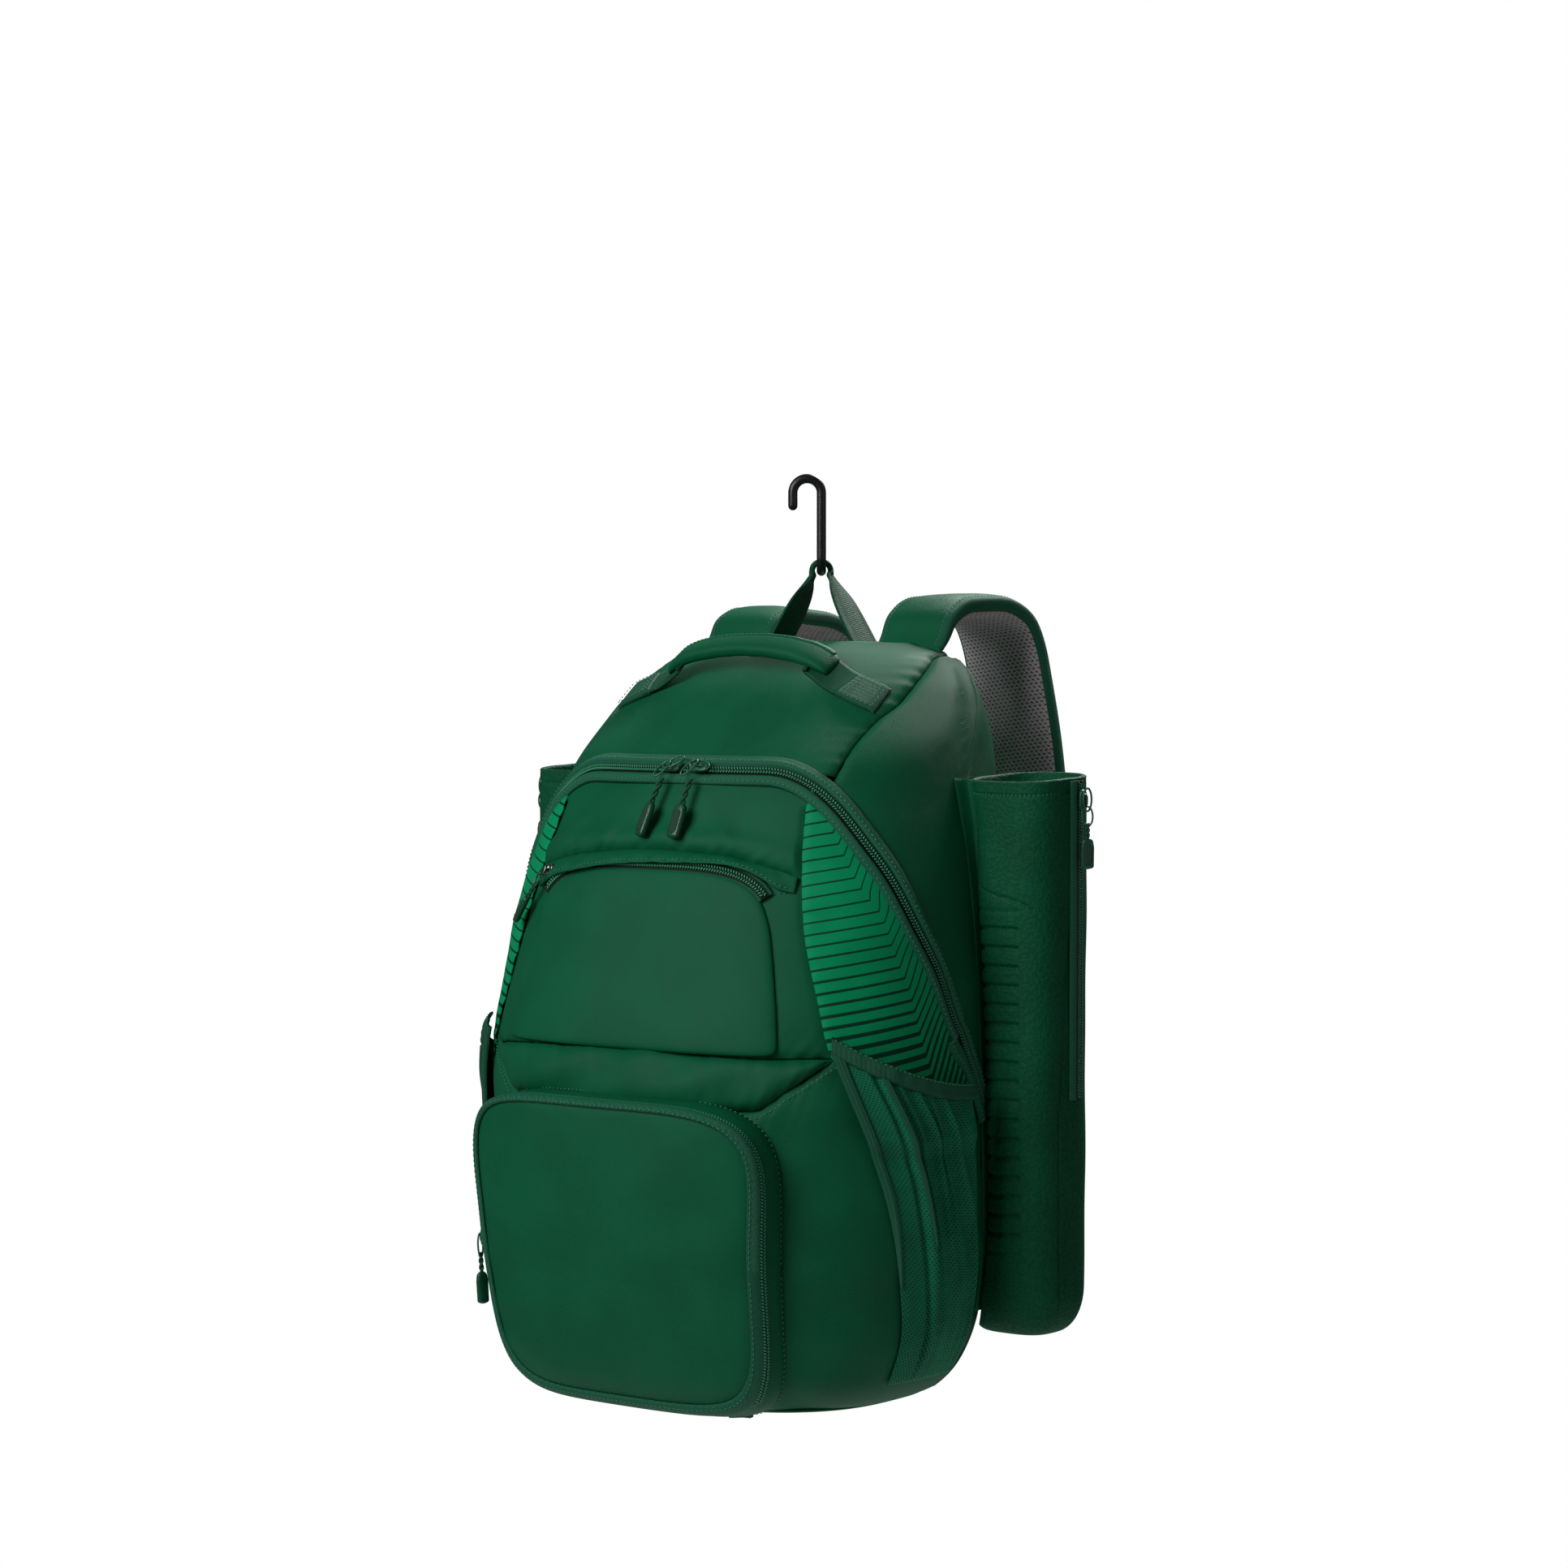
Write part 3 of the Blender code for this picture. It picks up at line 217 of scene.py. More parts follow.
FLOOR_DROP = 1.0            # below the bag's base, as on a fence
FLOOR_REACH = 3.0
floor_turn = np.linspace(0, 2 * np.pi, 97)[:-1]
floor_mesh = bpy.data.meshes.new("floor")
rim = np.stack([np.cos(floor_turn), np.sin(floor_turn), 0 * floor_turn], -1) * FLOOR_REACH
floor_mesh.from_pydata((rim + shell_low * (0, 0, 1) - (0, 0, FLOOR_DROP)).tolist(), [], [list(range(96))])
floor_finish = Finish("pale_floor", {"Base Color": (0.80, 0.80, 0.80), "Roughness": 0.9,
                                     "Emission Color": (1, 1, 1), "Emission Strength": 0.08})
floor_finish.feed(floor_finish.shader, {"Alpha": 1 - floor_finish.node(
    "ShaderNodeVectorMath", {"operation": "LENGTH"}, {0: floor_finish.place()}, out=1).step(1.6, 2.95)})
floor_mesh.materials.append(floor_finish.material)
floor = bpy.data.objects.new("floor", floor_mesh)
bpy.context.scene.collection.objects.link(floor)

# The room: white to the camera, and a weak even light to the bag
ROOM_LIGHT = 0.085
room = bpy.data.worlds.new("room")
room.use_nodes = True
room_nodes, room_links = room.node_tree.nodes, room.node_tree.links
seen = room_nodes.new("ShaderNodeLightPath")
brightness = room_nodes.new("ShaderNodeMapRange")
brightness.inputs["To Min"].default_value = ROOM_LIGHT
room_links.new(seen.outputs["Is Camera Ray"], brightness.inputs["Value"])
room_links.new(brightness.outputs[0], room_nodes["Background"].inputs["Strength"])
room_nodes["Background"].inputs["Color"].default_value = (1, 1, 1, 1)
bpy.context.scene.world = room

# The body's cloth: a coated polyester twill, cut as a forehead panel that runs over the top to the
# back, two side panels, a back panel and a base, sewn edge to edge with the seams turned in.
SKIN_COLUMNS = ("height", "width", "widest", "front", "back", "front_round", "back_round")
SKIN = np.array((       # horizontal sections from base to top, as shares of the body's sizes
    (0.000, 0.700, 0.42, 0.835, -0.40, 2.8, 2.6),
    (0.016, 0.800, 0.40, 0.885, -0.10, 2.7, 2.5),
    (0.060, 0.905, 0.39, 0.935, 0.40, 2.6, 2.3),
    (0.130, 0.975, 0.38, 0.958, 0.85, 2.5, 2.1),
    (0.240, 1.000, 0.37, 0.974, 1.00, 2.5, 2.1),
    (0.400, 0.990, 0.37, 0.975, 1.00, 2.5, 2.1),
    (0.600, 0.950, 0.35, 0.885, 1.00, 2.5, 2.3),
    (0.720, 0.900, 0.29, 0.805, 0.95, 2.5, 2.8),
    (0.830, 0.835, 0.18, 0.695, 0.90, 2.5, 4.0),
    (0.900, 0.775, 0.12, 0.520, 0.83, 2.4, 4.4),
    (0.950, 0.705, 0.07, 0.370, 0.75, 2.4, 4.2),
    (0.984, 0.605, 0.04, 0.220, 0.58, 2.5, 3.6),
    (1.000, 0.440, 0.02, 0.100, 0.40, 2.6, 3.0),
))


def smooth_line(points, at):
    """A monotone cubic through (x, y) points, read at the places at."""
    xs, ys = np.asarray(points, float)[:, :2].T
    run, slope = np.diff(xs), np.diff(ys) / np.diff(xs)
    bend = np.concatenate([slope[:1], 0 * slope[1:], slope[-1:]])
    before, after = slope[:-1], slope[1:]
    same = before * after > 0
    near, far = 2 * run[1:] + run[:-1], run[1:] + 2 * run[:-1]
    bend[1:-1][same] = (near + far)[same] / (near[same] / before[same] + far[same] / after[same])
    cell = np.clip(np.searchsorted(xs, at, side="right") - 1, 0, len(xs) - 2)
    t = np.clip((at - xs[cell]) / run[cell], 0, 1)
    return (ys[cell] * (1 + 2 * t) * (1 - t) ** 2 + bend[cell] * run[cell] * t * (1 - t) ** 2
            + ys[cell + 1] * t * t * (3 - 2 * t) + bend[cell + 1] * run[cell] * t * t * (t - 1))


def section(z):
    """Half width, widest y, front y, back y and the two roundnesses of the body at height z."""
    width, widest, front, back, *rounds = (
        smooth_line(SKIN[:, [0, column]], z / BODY_HEIGHT) for column in range(1, len(SKIN_COLUMNS)))
    return (width * BODY_WIDTH / 2, -widest * BODY_FRONT, -front * BODY_FRONT, back * BODY_BACK, *rounds)


def skin_point(turn, z):
    """The body's skin: a rounded section at each height, with turn 0 in front, 1 at the side, 2 behind."""
    turn, z = np.broadcast_arrays((np.asarray(turn, float) + 2) % 4 - 2, np.asarray(z, float))
    half, widest, front, back, front_round, back_round = section(z)
    ahead = np.abs(turn) <= 1
    angle = np.where(ahead, np.abs(turn), 2 - np.abs(turn)) * np.pi / 2
    power = 2 / np.where(ahead, front_round, back_round)
    x = half * np.abs(np.sin(angle)) ** power * np.sign(turn)
    y = widest + (np.where(ahead, front, back) - widest) * np.abs(np.cos(angle)) ** power
    return np.stack([x, y, z], -1)


def turn_at(x, z):
    """The turn of the place on the front that is x to the side at height z."""
    half, _, _, _, front_round, _ = section(np.asarray(z, float))
    share = np.clip(np.abs(x) / half, 0, 1)
    return np.arcsin(share ** (front_round / 2)) * 2 / np.pi * np.sign(x)


def turn_at_depth(y, z):
    """The turn of the place on the right side that is y back at height z."""
    _, widest, front, back, front_round, back_round = section(z)
    ahead = y < widest
    share = np.clip((y - widest) / (np.where(ahead, front, back) - widest), 0, 1)
    turn = np.arccos(share ** (np.where(ahead, front_round, back_round) / 2)) * 2 / np.pi
    return np.where(ahead, turn, 2 - turn)


def side_at(y, z):
    """Half the body's width at depth y and height z."""
    half, widest, front, back, front_round, back_round = section(z)
    ahead = y < widest
    share = np.clip((y - widest) / (np.where(ahead, front, back) - widest), 0, 1)
    power = np.where(ahead, front_round, back_round)
    return half * (1 - share ** power) ** (1 / power)


class Surface:
    """A surface given by a point function of u and v; its outer side is u's way across v's."""

    step = 1e-4

    def __init__(self, point):
        self.point = point

    def tangents(self, u, v):
        return [(self.point(u + a, v + b) - self.point(u - a, v - b)) / (2 * self.step)
                for a, b in ((self.step, 0), (0, self.step))]

    def normal(self, u, v):
        out = np.cross(*self.tangents(u, v))
        return out / np.linalg.norm(out, axis=-1, keepdims=True)

    def lifted(self, u, v, lift):
        """Points at (u, v), each moved out along the normal by its lift."""
        u, v, lift = np.broadcast_arrays(*(np.asarray(part, float) for part in (u, v, lift)))
        return self.point(u, v) + self.normal(u, v) * lift[..., None]

    def beside(self, us, vs, offsets):
        """The (u, v) beside a path at the given distances to its left, a row for each path point."""
        us, vs = np.asarray(us, float), np.asarray(vs, float)
        along = np.gradient(self.point(us, vs), axis=0)
        across = np.cross(self.normal(us, vs), along)
        across /= np.linalg.norm(across, axis=-1, keepdims=True)
        du, dv = self.tangents(us, vs)
        uu, uv, vv = (du * du).sum(-1), (du * dv).sum(-1), (dv * dv).sum(-1)
        wu, wv = (across * du).sum(-1), (across * dv).sum(-1)
        whole = uu * vv - uv * uv
        step_u, step_v = (vv * wu - uv * wv) / whole, (uu * wv - uv * wu) / whole
        offsets = np.asarray(offsets, float)
        return us[:, None] + step_u[:, None] * offsets, vs[:, None] + step_v[:, None] * offsets


skin = Surface(skin_point)


def grid_faces(rows, columns, wrap=False, loop=False):
    """Quads between neighbouring rows and columns, whose outer side is the columns' way across the rows'."""
    corner = np.arange(rows * columns).reshape(rows, columns)
    if wrap:
        corner = np.concatenate([corner, corner[:, :1]], 1)
    if loop:
        corner = np.concatenate([corner, corner[:1]], 0)
    return np.stack([corner[:-1, :-1], corner[:-1, 1:], corner[1:, 1:], corner[1:, :-1]], -1).reshape(-1, 4)


def reach(points, axis):
    """Distance along a grid's rows or columns from the first, measured over the points."""
    step = np.linalg.norm(np.diff(points, axis=axis), axis=-1)
    return np.concatenate([0 * np.take(step, [0], axis), np.cumsum(step, axis)], axis)


def grid_cloth(points, wrap=False, loop=False):
    """Each quad corner's place in the cloth: metres along the rows and columns from the middle ones."""
    if wrap:
        points = np.concatenate([points, points[:, :1]], 1)
    if loop:
        points = np.concatenate([points, points[:1]], 0)
    flat = np.stack([r - np.take(r, [r.shape[axis] // 2], axis)
                     for axis in (1, 0) for r in [reach(points, axis)]], -1)
    return np.stack([flat[:-1, :-1], flat[:-1, 1:], flat[1:, 1:], flat[1:, :-1]], 2).reshape(-1, 2)


def make_piece(name, shape, finish, replaces=(), wall=0.0):
    """One smooth object from corners in bag coordinates, faces and their cloth, its wall turned inwards."""
    corners, faces, *cloth = shape
    mesh = bpy.data.meshes.new(name)
    faces = faces.tolist() if isinstance(faces, np.ndarray) else faces
    mesh.from_pydata((np.reshape(corners, (-1, 3)) + ORIGIN).tolist(), [], faces)
    if cloth:
        mesh.uv_layers.new(name="cloth").data.foreach_set("uv", np.asarray(cloth[0], np.float32).ravel())
    mesh.shade_smooth()
    mesh.materials.append(finish.material)
    piece = bpy.data.objects.new(name, mesh)
    bpy.context.scene.collection.objects.link(piece)
    if wall:
        solidify = piece.modifiers.new("wall", "SOLIDIFY")
        solidify.thickness, solidify.offset = wall, -1
    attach(piece, "root")
    if replaces:
        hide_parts(*replaces)
    return piece


def make_cloth(name, points, finish, replaces=(), wall=0.0015, wrap=False):
    """A grid of points as a piece of cloth that knows its own lengths."""
    shape = points, grid_faces(*points.shape[:2], wrap), grid_cloth(points, wrap)
    return make_piece(name, shape, finish, replaces, wall)


def tuck(points, edges, depth=0.0028, width=0.0032, pucker=0.0003, seed=0):
    """How far a panel's skin sinks beside its sewn edges: a turned-in roll with fine puckers along it."""
    along, up = reach(points, 1), reach(points, 0)
    ways = {"left": (along, up), "right": (along[:, -1:] - along, up),
            "foot": (up, along), "top": (up[-1:] - up, along)}
    rng = np.random.default_rng(seed)
    sink = np.zeros(points.shape[:2])
    for edge in edges:
        gap, run = ways[edge]
        gather = sum(np.sin(run * 2 * np.pi / pitch + rng.uniform(0, 6)) for pitch in (0.011, 0.017, 0.029))
        sink = sink + depth * np.exp(-(gap / width) ** 1.5) + pucker * gather * np.exp(-gap / (3 * width))
    return -sink


def swells(x, y, size, seed, count=9):
    """Soft random relief of about unit height: waves of about one length in seeded directions."""
    rng = np.random.default_rng(seed)
    total = 0
    for way, phase, stretch in rng.uniform((0, 0, 0.6), (np.pi, 2 * np.pi, 1.6), (count, 3)):
        total = total + np.sin((x * np.cos(way) + y * np.sin(way)) * 2 * np.pi / (size * stretch) + phase)
    return total / np.sqrt(count)


def crease(x, y, start, end, width, height):
    """A soft fold of the given height along the line from start to end, thinning out at its ends."""
    (x0, y0), (x1, y1) = start, end
    length = np.hypot(x1 - x0, y1 - y0)
    along = ((x - x0) * (x1 - x0) + (y - y0) * (y1 - y0)) / length ** 2
    off = ((x - x0) * (y1 - y0) - (y - y0) * (x1 - x0)) / length
    return height * np.exp(-(off / width) ** 2) * np.exp(-(2 * along - 1) ** 4)


def twill(name, colour, light, rough=0.46, pitch=0.0015, depth=0.00012):
    """Twill: diagonal ribs broken by the crossing threads, paler on the ribs, with faint mottling."""
    finish = Finish(name, {"Specular IOR Level": 0.14, "Sheen Weight": 0.02, "Sheen Roughness": 0.5,
                           "Sheen Tint": light})
    u, v = finish.cloth()
    rib = ((u + v * 1.2) / pitch).wave()
    thread = ((u * 1.2 - v) / (pitch * 0.55)).wave()
    weave = rib * (thread * 0.35 + 0.65)
    mottle = finish.noise(0.045, 3.0).step(0.35, 0.65)
    finish.feed(finish.shader, {
        "Base Color": finish.mix(weave * 0.6 + mottle * 0.25, colour, light),
        "Roughness": rough + 0.08 - weave * 0.10 + mottle * 0.05})
    finish.relief(weave + finish.noise(0.004, 2.0) * 0.6, depth)
    return finish


shell_twill = twill("shell_twill", (0.0008, 0.080, 0.0325), (0.0024, 0.132, 0.0590))

FLAP_TOP, FLAP_BOTTOM = 0.415, 0.014
RIM = ((0, 1.205), (0.3, 1.205), (0.42, 1.178), (0.56, 1.015), (0.68, 0.93), (0.76, 0.83), (0.835, 0.725),
       (0.89, 0.62), (0.94, 0.52), (0.965, 0.455), (0.985, 0.385), (1, 0.30))


def rim_turn(z):
    """The turn of the main zip's line at height z, up to the flap's top."""
    return smooth_line(RIM, (z - FLAP_BOTTOM) / (FLAP_TOP - FLAP_BOTTOM))


def roof_height(x, y):
    """Height of the skin over (x, y) on the forehead and top, found by halving; the top is a low crown."""
    low, high = np.full(np.shape(x), 0.30), np.full(np.shape(x), BODY_HEIGHT)
    for _ in range(26):
        middle = (low + high) / 2
        half, widest, front, back, front_round, back_round = section(middle)
        ahead = y < widest
        share = np.clip((y - widest) / (np.where(ahead, front, back) - widest), 0, 9)
        inside = (np.abs(x) / half) ** np.where(ahead, front_round, back_round) + share ** np.where(
            ahead, front_round, back_round) < 1
        low, high = np.where(inside, middle, low), np.where(inside, high, middle)
    return low


# Side seam of the forehead panel in plan: y, x
SIDE_SEAM = ((-0.150, 0.1115), (-0.136, 0.111), (-0.114, 0.111), (-0.091, 0.113), (-0.068, 0.118),
             (-0.040, 0.116), (-0.015, 0.109), (0.005, 0.104), (0.018, 0.099), (0.026, 0.092))
BACK_EDGE = 0.0235
roof = Surface(lambda x, y: np.stack(np.broadcast_arrays(x, y, roof_height(x, y)), -1))

# Forehead panel: y runs from just under the zip's tape to the back edge, x from seam to seam
share_x = np.linspace(-1, 1, 141)[None, :]
share_y = np.linspace(0, 1, 121)[:, None] ** 0.9
half, widest, front, _, front_round, _ = section(np.array(FLAP_TOP - 0.002))
foot_x = share_x * 0.111
foot_y = widest + (front - widest) * (1 - np.abs(foot_x / half) ** front_round) ** (1 / front_round)
y = foot_y + (BACK_EDGE - foot_y) * share_y
x = share_x * smooth_line(SIDE_SEAM, y)
flat = roof.lifted(x, y, 0)
lift = tuck(flat, ("left", "right", "top"), seed=1) + 0.0009 * swells(x, y, 0.09, 2)
lift = lift + 0.0016 * np.exp(-((y + 0.045) / 0.03) ** 2) * np.cos(x * 40)
make_cloth("forehead_panel", roof.lifted(x, y, lift), shell_twill, ("main_shell",))

# Side panels: from the zip's line and the forehead's seam round to the back panel's seam
seam_y = np.linspace(-0.136, -0.015, 40)
seam_x = smooth_line(SIDE_SEAM, seam_y)
seam_z = roof_height(seam_x, seam_y)
PANEL_TOP = float(seam_z[-1])
BACK_SEAM = ((0.0, 1.50), (0.1, 1.56), (0.5, 1.60), (0.8, 1.62), (0.93, 1.58), (1.0, 1.50))
heights = np.concatenate([np.linspace(0.004, 0.36, 90)[:-1], np.linspace(0.36, PANEL_TOP, 70)])[:, None]
upper = np.clip((heights - 0.384) / 0.028, 0, 1)      # where the edge leaves the zip for the forehead's seam
upper = upper * upper * (3 - 2 * upper)
start = (rim_turn(np.minimum(heights, FLAP_TOP)) * (1 - upper)
         + np.interp(heights, seam_z, turn_at(seam_x, seam_z)) * upper)
end = smooth_line(BACK_SEAM, heights / PANEL_TOP)
across = np.linspace(0, 1, 110)[None, :]
for side, sign in (("left", -1), ("right", 1)):
    turn = start + (end - start) * across
    flat = skin.lifted(turn, heights, 0)
    lift = tuck(flat, ("right", "top"), seed=3)
    lift = lift - 0.0028 * np.exp(-(reach(flat, 1) / 0.0032) ** 1.5) * np.clip((heights - 0.40) / 0.012, 0, 1)
    lift = lift + 0.0011 * swells(flat[..., 1], flat[..., 2], 0.12, 4 + sign)
    lift = lift + crease(flat[..., 1], flat[..., 2], (-0.02, 0.475), (-0.06, 0.43), 0.007, 0.0012)
    lift = lift + crease(flat[..., 1], flat[..., 2], (0.0, 0.44), (-0.05, 0.385), 0.010, -0.0014)
    points = skin.lifted(sign * turn, heights, lift)
    make_cloth(f"side_panel_{side}", points if sign > 0 else points[:, ::-1], shell_twill,
               ("main_shell",))

# Back panel and base, hidden behind the wearer's pads, in the same cloth
turn = end + (4 - 2 * end) * across
flat = skin.lifted(turn, heights, 0)
make_cloth("back_panel", skin.lifted(turn, heights, tuck(flat, ("left", "right", "top"), seed=7)),
           shell_twill, ("main_shell",))
turn = np.linspace(-2, 2, 161)[None, :-1]
inset = np.array((1.0, 0.995, 0.97, 0.9, 0.75, 0.5, 0.25, 0.02))[::-1, None]
ring = skin_point(turn, np.array(0.004) + 0 * turn)
centre = np.array((0, -0.09, 0.0))
points = centre + (ring - centre) * inset[..., None]
points[..., 2] = 0.0042 - 0.0045 * (1 - inset ** 12)
make_cloth("base_panel", points, shell_twill, ("main_shell",), wrap=True)

# The front flap: the U-shaped front that the main zip opens. Its brow rolls over the hood's seam,
# the band between the pockets bulges, and slanting seams run from it to the mesh pockets.
HOOD_LINE = ((-0.152, 0.330), (-0.104, 0.3485), (-0.07, 0.3565), (0.0, 0.3625), (0.05, 0.3605), (0.09, 0.353),
             (0.108, 0.347), (0.152, 0.330))
PLEAT_LINE = ((-0.17, 0.226), (-0.10, 0.233), (0.0, 0.2375), (0.108, 0.2345), (0.144, 0.2345), (0.17, 0.230))
SLANT_LINE = ((-0.18, 0.262), (-0.144, 0.235), (-0.123, 0.217), (-0.098, 0.2005),
              (0.0, 0.1995), (0.098, 0.2005),
              (0.123, 0.217), (0.144, 0.235), (0.18, 0.262))


PRINT_FOOT, PRINT_TOP = 0.216, 0.392
PRINT_EDGE = ((0, 1.53), (0.12, 1.41), (0.30, 1.315), (0.53, 1.19), (0.81, 1.08), (1, 1.02))
UPPER_WIDTH = 0.56 * BODY_WIDTH


def print_edge(z):
    """How far to the side the bright print panels begin at height z."""
    return smooth_line(PRINT_EDGE, (z - PRINT_FOOT) / (PRINT_TOP - PRINT_FOOT)) * UPPER_WIDTH / 2


def flap_panel(name, foot, top, edges, rows, seed, extra, width=1.0):
    """A panel of the flap between two lines (x, z), from rim to rim, with extra relief of x and z."""
    share = np.linspace(-width, width, 221)[None, :]
    rise = np.linspace(0, 1, rows)[:, None]
    z = np.full((rows, 1), foot(0.0)) + 0 * share
    for _ in range(6):      # the lines are given over x, which shifts a little with the height
        x = skin_point(share * rim_turn(np.clip(z, FLAP_BOTTOM, FLAP_TOP)), z)[..., 0]
        z = foot(x) + (top(x) - foot(x)) * rise
    turn = share * rim_turn(np.clip(z, FLAP_BOTTOM, FLAP_TOP))
    flat = skin.lifted(turn, z, 0)
    lift = tuck(flat, edges, seed=seed) + 0.0006 * swells(x, z, 0.08, seed) + extra(x, z, rise)
    covered = np.clip((np.abs(x) - print_edge(z) + 0.004) / 0.006, 0, 1) * (z > PRINT_FOOT) * (z < PRINT_TOP)
    lift = lift * (1 - covered) - 0.0014 * covered
    return make_cloth(name, skin.lifted(turn, z, lift), shell_twill, ("front_flap",))


def line_of(points):
    """A line (x, z) as a function of x."""
    return lambda x: smooth_line(points, x)


def brow_relief(x, z, rise):
    """Fullness that rolls over the hood's seam, with short puckers above it."""
    fold = 0.0042 * np.exp(-((rise - 0.16) / 0.15) ** 2)
    for at, lean, size in ((-0.045, 0.3, 0.0016), (0.01, -0.2, 0.0012), (0.062, -0.5, 0.0016),
                           (-0.085, 0.5, 0.0014)):
        fold = fold + crease(x, z, (at, 0.3635), (at + lean * 0.03, 0.385), 0.006, size)
    return fold


def band_relief(x, z, rise):
    """The band bulges between its two seams and flattens towards the slanting ones."""
    full = np.clip((0.15 - np.abs(x)) / 0.05, 0, 1)
    return 0.0050 * np.sin(np.pi * rise) ** 0.7 * full ** 0.7 + 0.0010 * swells(x, z, 0.04, 14)


flap_panel("flap_brow", line_of(HOOD_LINE), lambda x: FLAP_TOP + 0 * x, ("foot",), 60, 11, brow_relief)
flap_panel("flap_middle", line_of(PLEAT_LINE), lambda x: line_of(HOOD_LINE)(x) + 0.004, ("foot",), 70, 12,
           lambda x, z, rise: 0 * x - 0.002 * np.clip(rise * 10 - 9, 0, 1))
flap_panel("flap_band", line_of(SLANT_LINE), line_of(PLEAT_LINE), ("foot", "top"), 44, 13, band_relief, 0.80)
flap_panel("flap_foot", lambda x: 0.004 + 0 * x, line_of(SLANT_LINE), ("top",), 90, 15,
           lambda x, z, rise: 0.0006 * swells(x, z, 0.05, 16))


def stitches(points, normals, pitch=0.0036, length=0.0025, width=0.0008):
    """A row of sewn stitches: stretched octahedra laid along a path of points, half sunk in the cloth."""
    gone = reach(np.asarray(points)[None], 1)[0]
    at = np.arange(pitch / 2, gone[-1], pitch)
    centre, out = (np.stack([np.interp(at, gone, part[:, k]) for k in range(3)], -1)
                   for part in (np.asarray(points), np.asarray(normals)))
    ahead = np.stack([np.interp(at + 1e-4, gone, np.asarray(points)[:, k]) for k in range(3)], -1) - centre
    ahead[-1] = ahead[-2]
    ahead /= np.linalg.norm(ahead, axis=-1, keepdims=True)
    out /= np.linalg.norm(out, axis=-1, keepdims=True)
    beside = np.cross(out, ahead)
    corners = np.stack([centre + way * size for way, size in (
        (ahead, length / 2), (beside, width / 2), (-ahead, length / 2), (-beside, width / 2),
        (out, width / 2),
        (-out, width / 2))], 1)
    faces = np.array([(0, 1, 4), (1, 2, 4), (2, 3, 4), (3, 0, 4), (1, 0, 5), (2, 1, 5), (3, 2, 5), (0, 3, 5)])
    faces = (faces[None] + 6 * np.arange(len(at))[:, None, None]).reshape(-1, 3)
    return corners.reshape(-1, 3), faces


def join(parts):
    """Several shapes as one: their corners, faces and, where they have it, cloth."""
    start, corners, faces = 0, [], []
    for part in parts:
        corners.append(np.reshape(part[0], (-1, 3)))
        faces += [[corner + start for corner in face] for face in np.asarray(part[1], object).tolist()]
        start += len(corners[-1])
    cloth = [part[2] for part in parts if len(part) > 2]
    return (np.concatenate(corners), faces, *([np.concatenate(cloth)] if cloth else []))


def line_on(surface, us, vs, lift, aside=0.0):
    """Points and normals along (u, v) on a surface, a little to one side."""
    u, v = (part[:, 0] for part in surface.beside(us, vs, [aside]))
    return surface.lifted(u, v, lift), surface.normal(u, v)


thread = Finish("sewing_thread",
                {"Base Color": (0.055, 0.27, 0.160), "Roughness": 0.55, "Specular IOR Level": 0.3})
rows = []
for sign in (-1, 1):
    slant_x = np.linspace(0.100, 0.143, 60) * sign
    slant_z = line_of(SLANT_LINE)(slant_x)
    rows.append(stitches(*line_on(skin, turn_at(slant_x, slant_z), slant_z, 0.0004, -0.0045 * sign)))
make_piece("flap_stitching", join(rows), thread)

# The main zip: herringbone tape on both sides of a double coil, round the flap from one mesh pocket
# over the top to the other, with two sliders that meet on the top run.
ZIP_END = 0.190
ZIP_TAPE = 0.022
COIL_PITCH = 0.0021


def main_zip_path(count):
    """Evenly spaced turns and heights along the zip, from the bottom right over the top to the left."""
    z = FLAP_TOP - (FLAP_TOP - ZIP_END) * (1 - np.linspace(0, 1, 120)) ** 2
    turn = rim_turn(z)
    top = np.linspace(turn[-1], -turn[-1], 41)[1:-1]
    turns, heights = (np.concatenate([turn, top, -turn[::-1]]),
                      np.concatenate([z, top * 0 + FLAP_TOP, z[::-1]]))
    gone = reach(skin_point(turns, heights)[None], 1)[0]
    even = np.linspace(0, gone[-1], count)
    turns, heights = (np.interp(even, gone, part) for part in (turns, heights))
    for _ in range(30):     # rounds the corners where the top run begins
        turns[1:-1], heights[1:-1] = ((part[:-2] + part[1:-1] + part[2:]) / 3 for part in (turns, heights))
    return turns, heights


def strip(surface, us, vs, offsets, lifts):
    """Points of a strip along a path: a row for each place on the path, a column for each offset."""
    u, v = surface.beside(us, vs, offsets)
    return surface.lifted(u, v, lifts)[:, ::-1]


def herringbone(name, colour, light, rise=0.0016, run=0.0055, depth=0.00018, groove=0.0):
    """Herringbone tape: slanting ribs that turn back along lines, with painted shade down its middle under a coil.
    """
    finish = Finish(name, {"Specular IOR Level": 0.3, "Sheen Weight": 0.05, "Sheen Tint": light})
    across, along = finish.cloth()
    rib = ((along + (across / run).zigzag() * run * 1.6) / rise).wave()
    woven = finish.mix(rib * 0.7, colour, light)
    # Painted shade: within groove of the middle, the tape is darkened to near black where the coil's shadow falls.
    if groove:
        beyond = (across * across).step((groove * 0.85) ** 2, (groove * 1.15) ** 2)
        woven = finish.mix(beyond, (0.0008, 0.014, 0.0065), woven)
    finish.feed(finish.shader, {"Base Color": woven, "Roughness": 0.7 - rib * 0.1})
    finish.relief(rib, depth)
    return finish


binding_tape = herringbone("binding_tape", (0.0030, 0.070, 0.034), (0.013, 0.210, 0.115))
# The zip tapes carry painted shade down their middles, under the coils.
zip_tape = herringbone("zip_tape", (0.0030, 0.070, 0.034), (0.013, 0.210, 0.115), groove=0.0037)
coil_finish = Finish("coil_nylon", {"Base Color": (0.030, 0.230, 0.125), "Roughness": 0.38,
                                    "Specular IOR Level": 0.5})


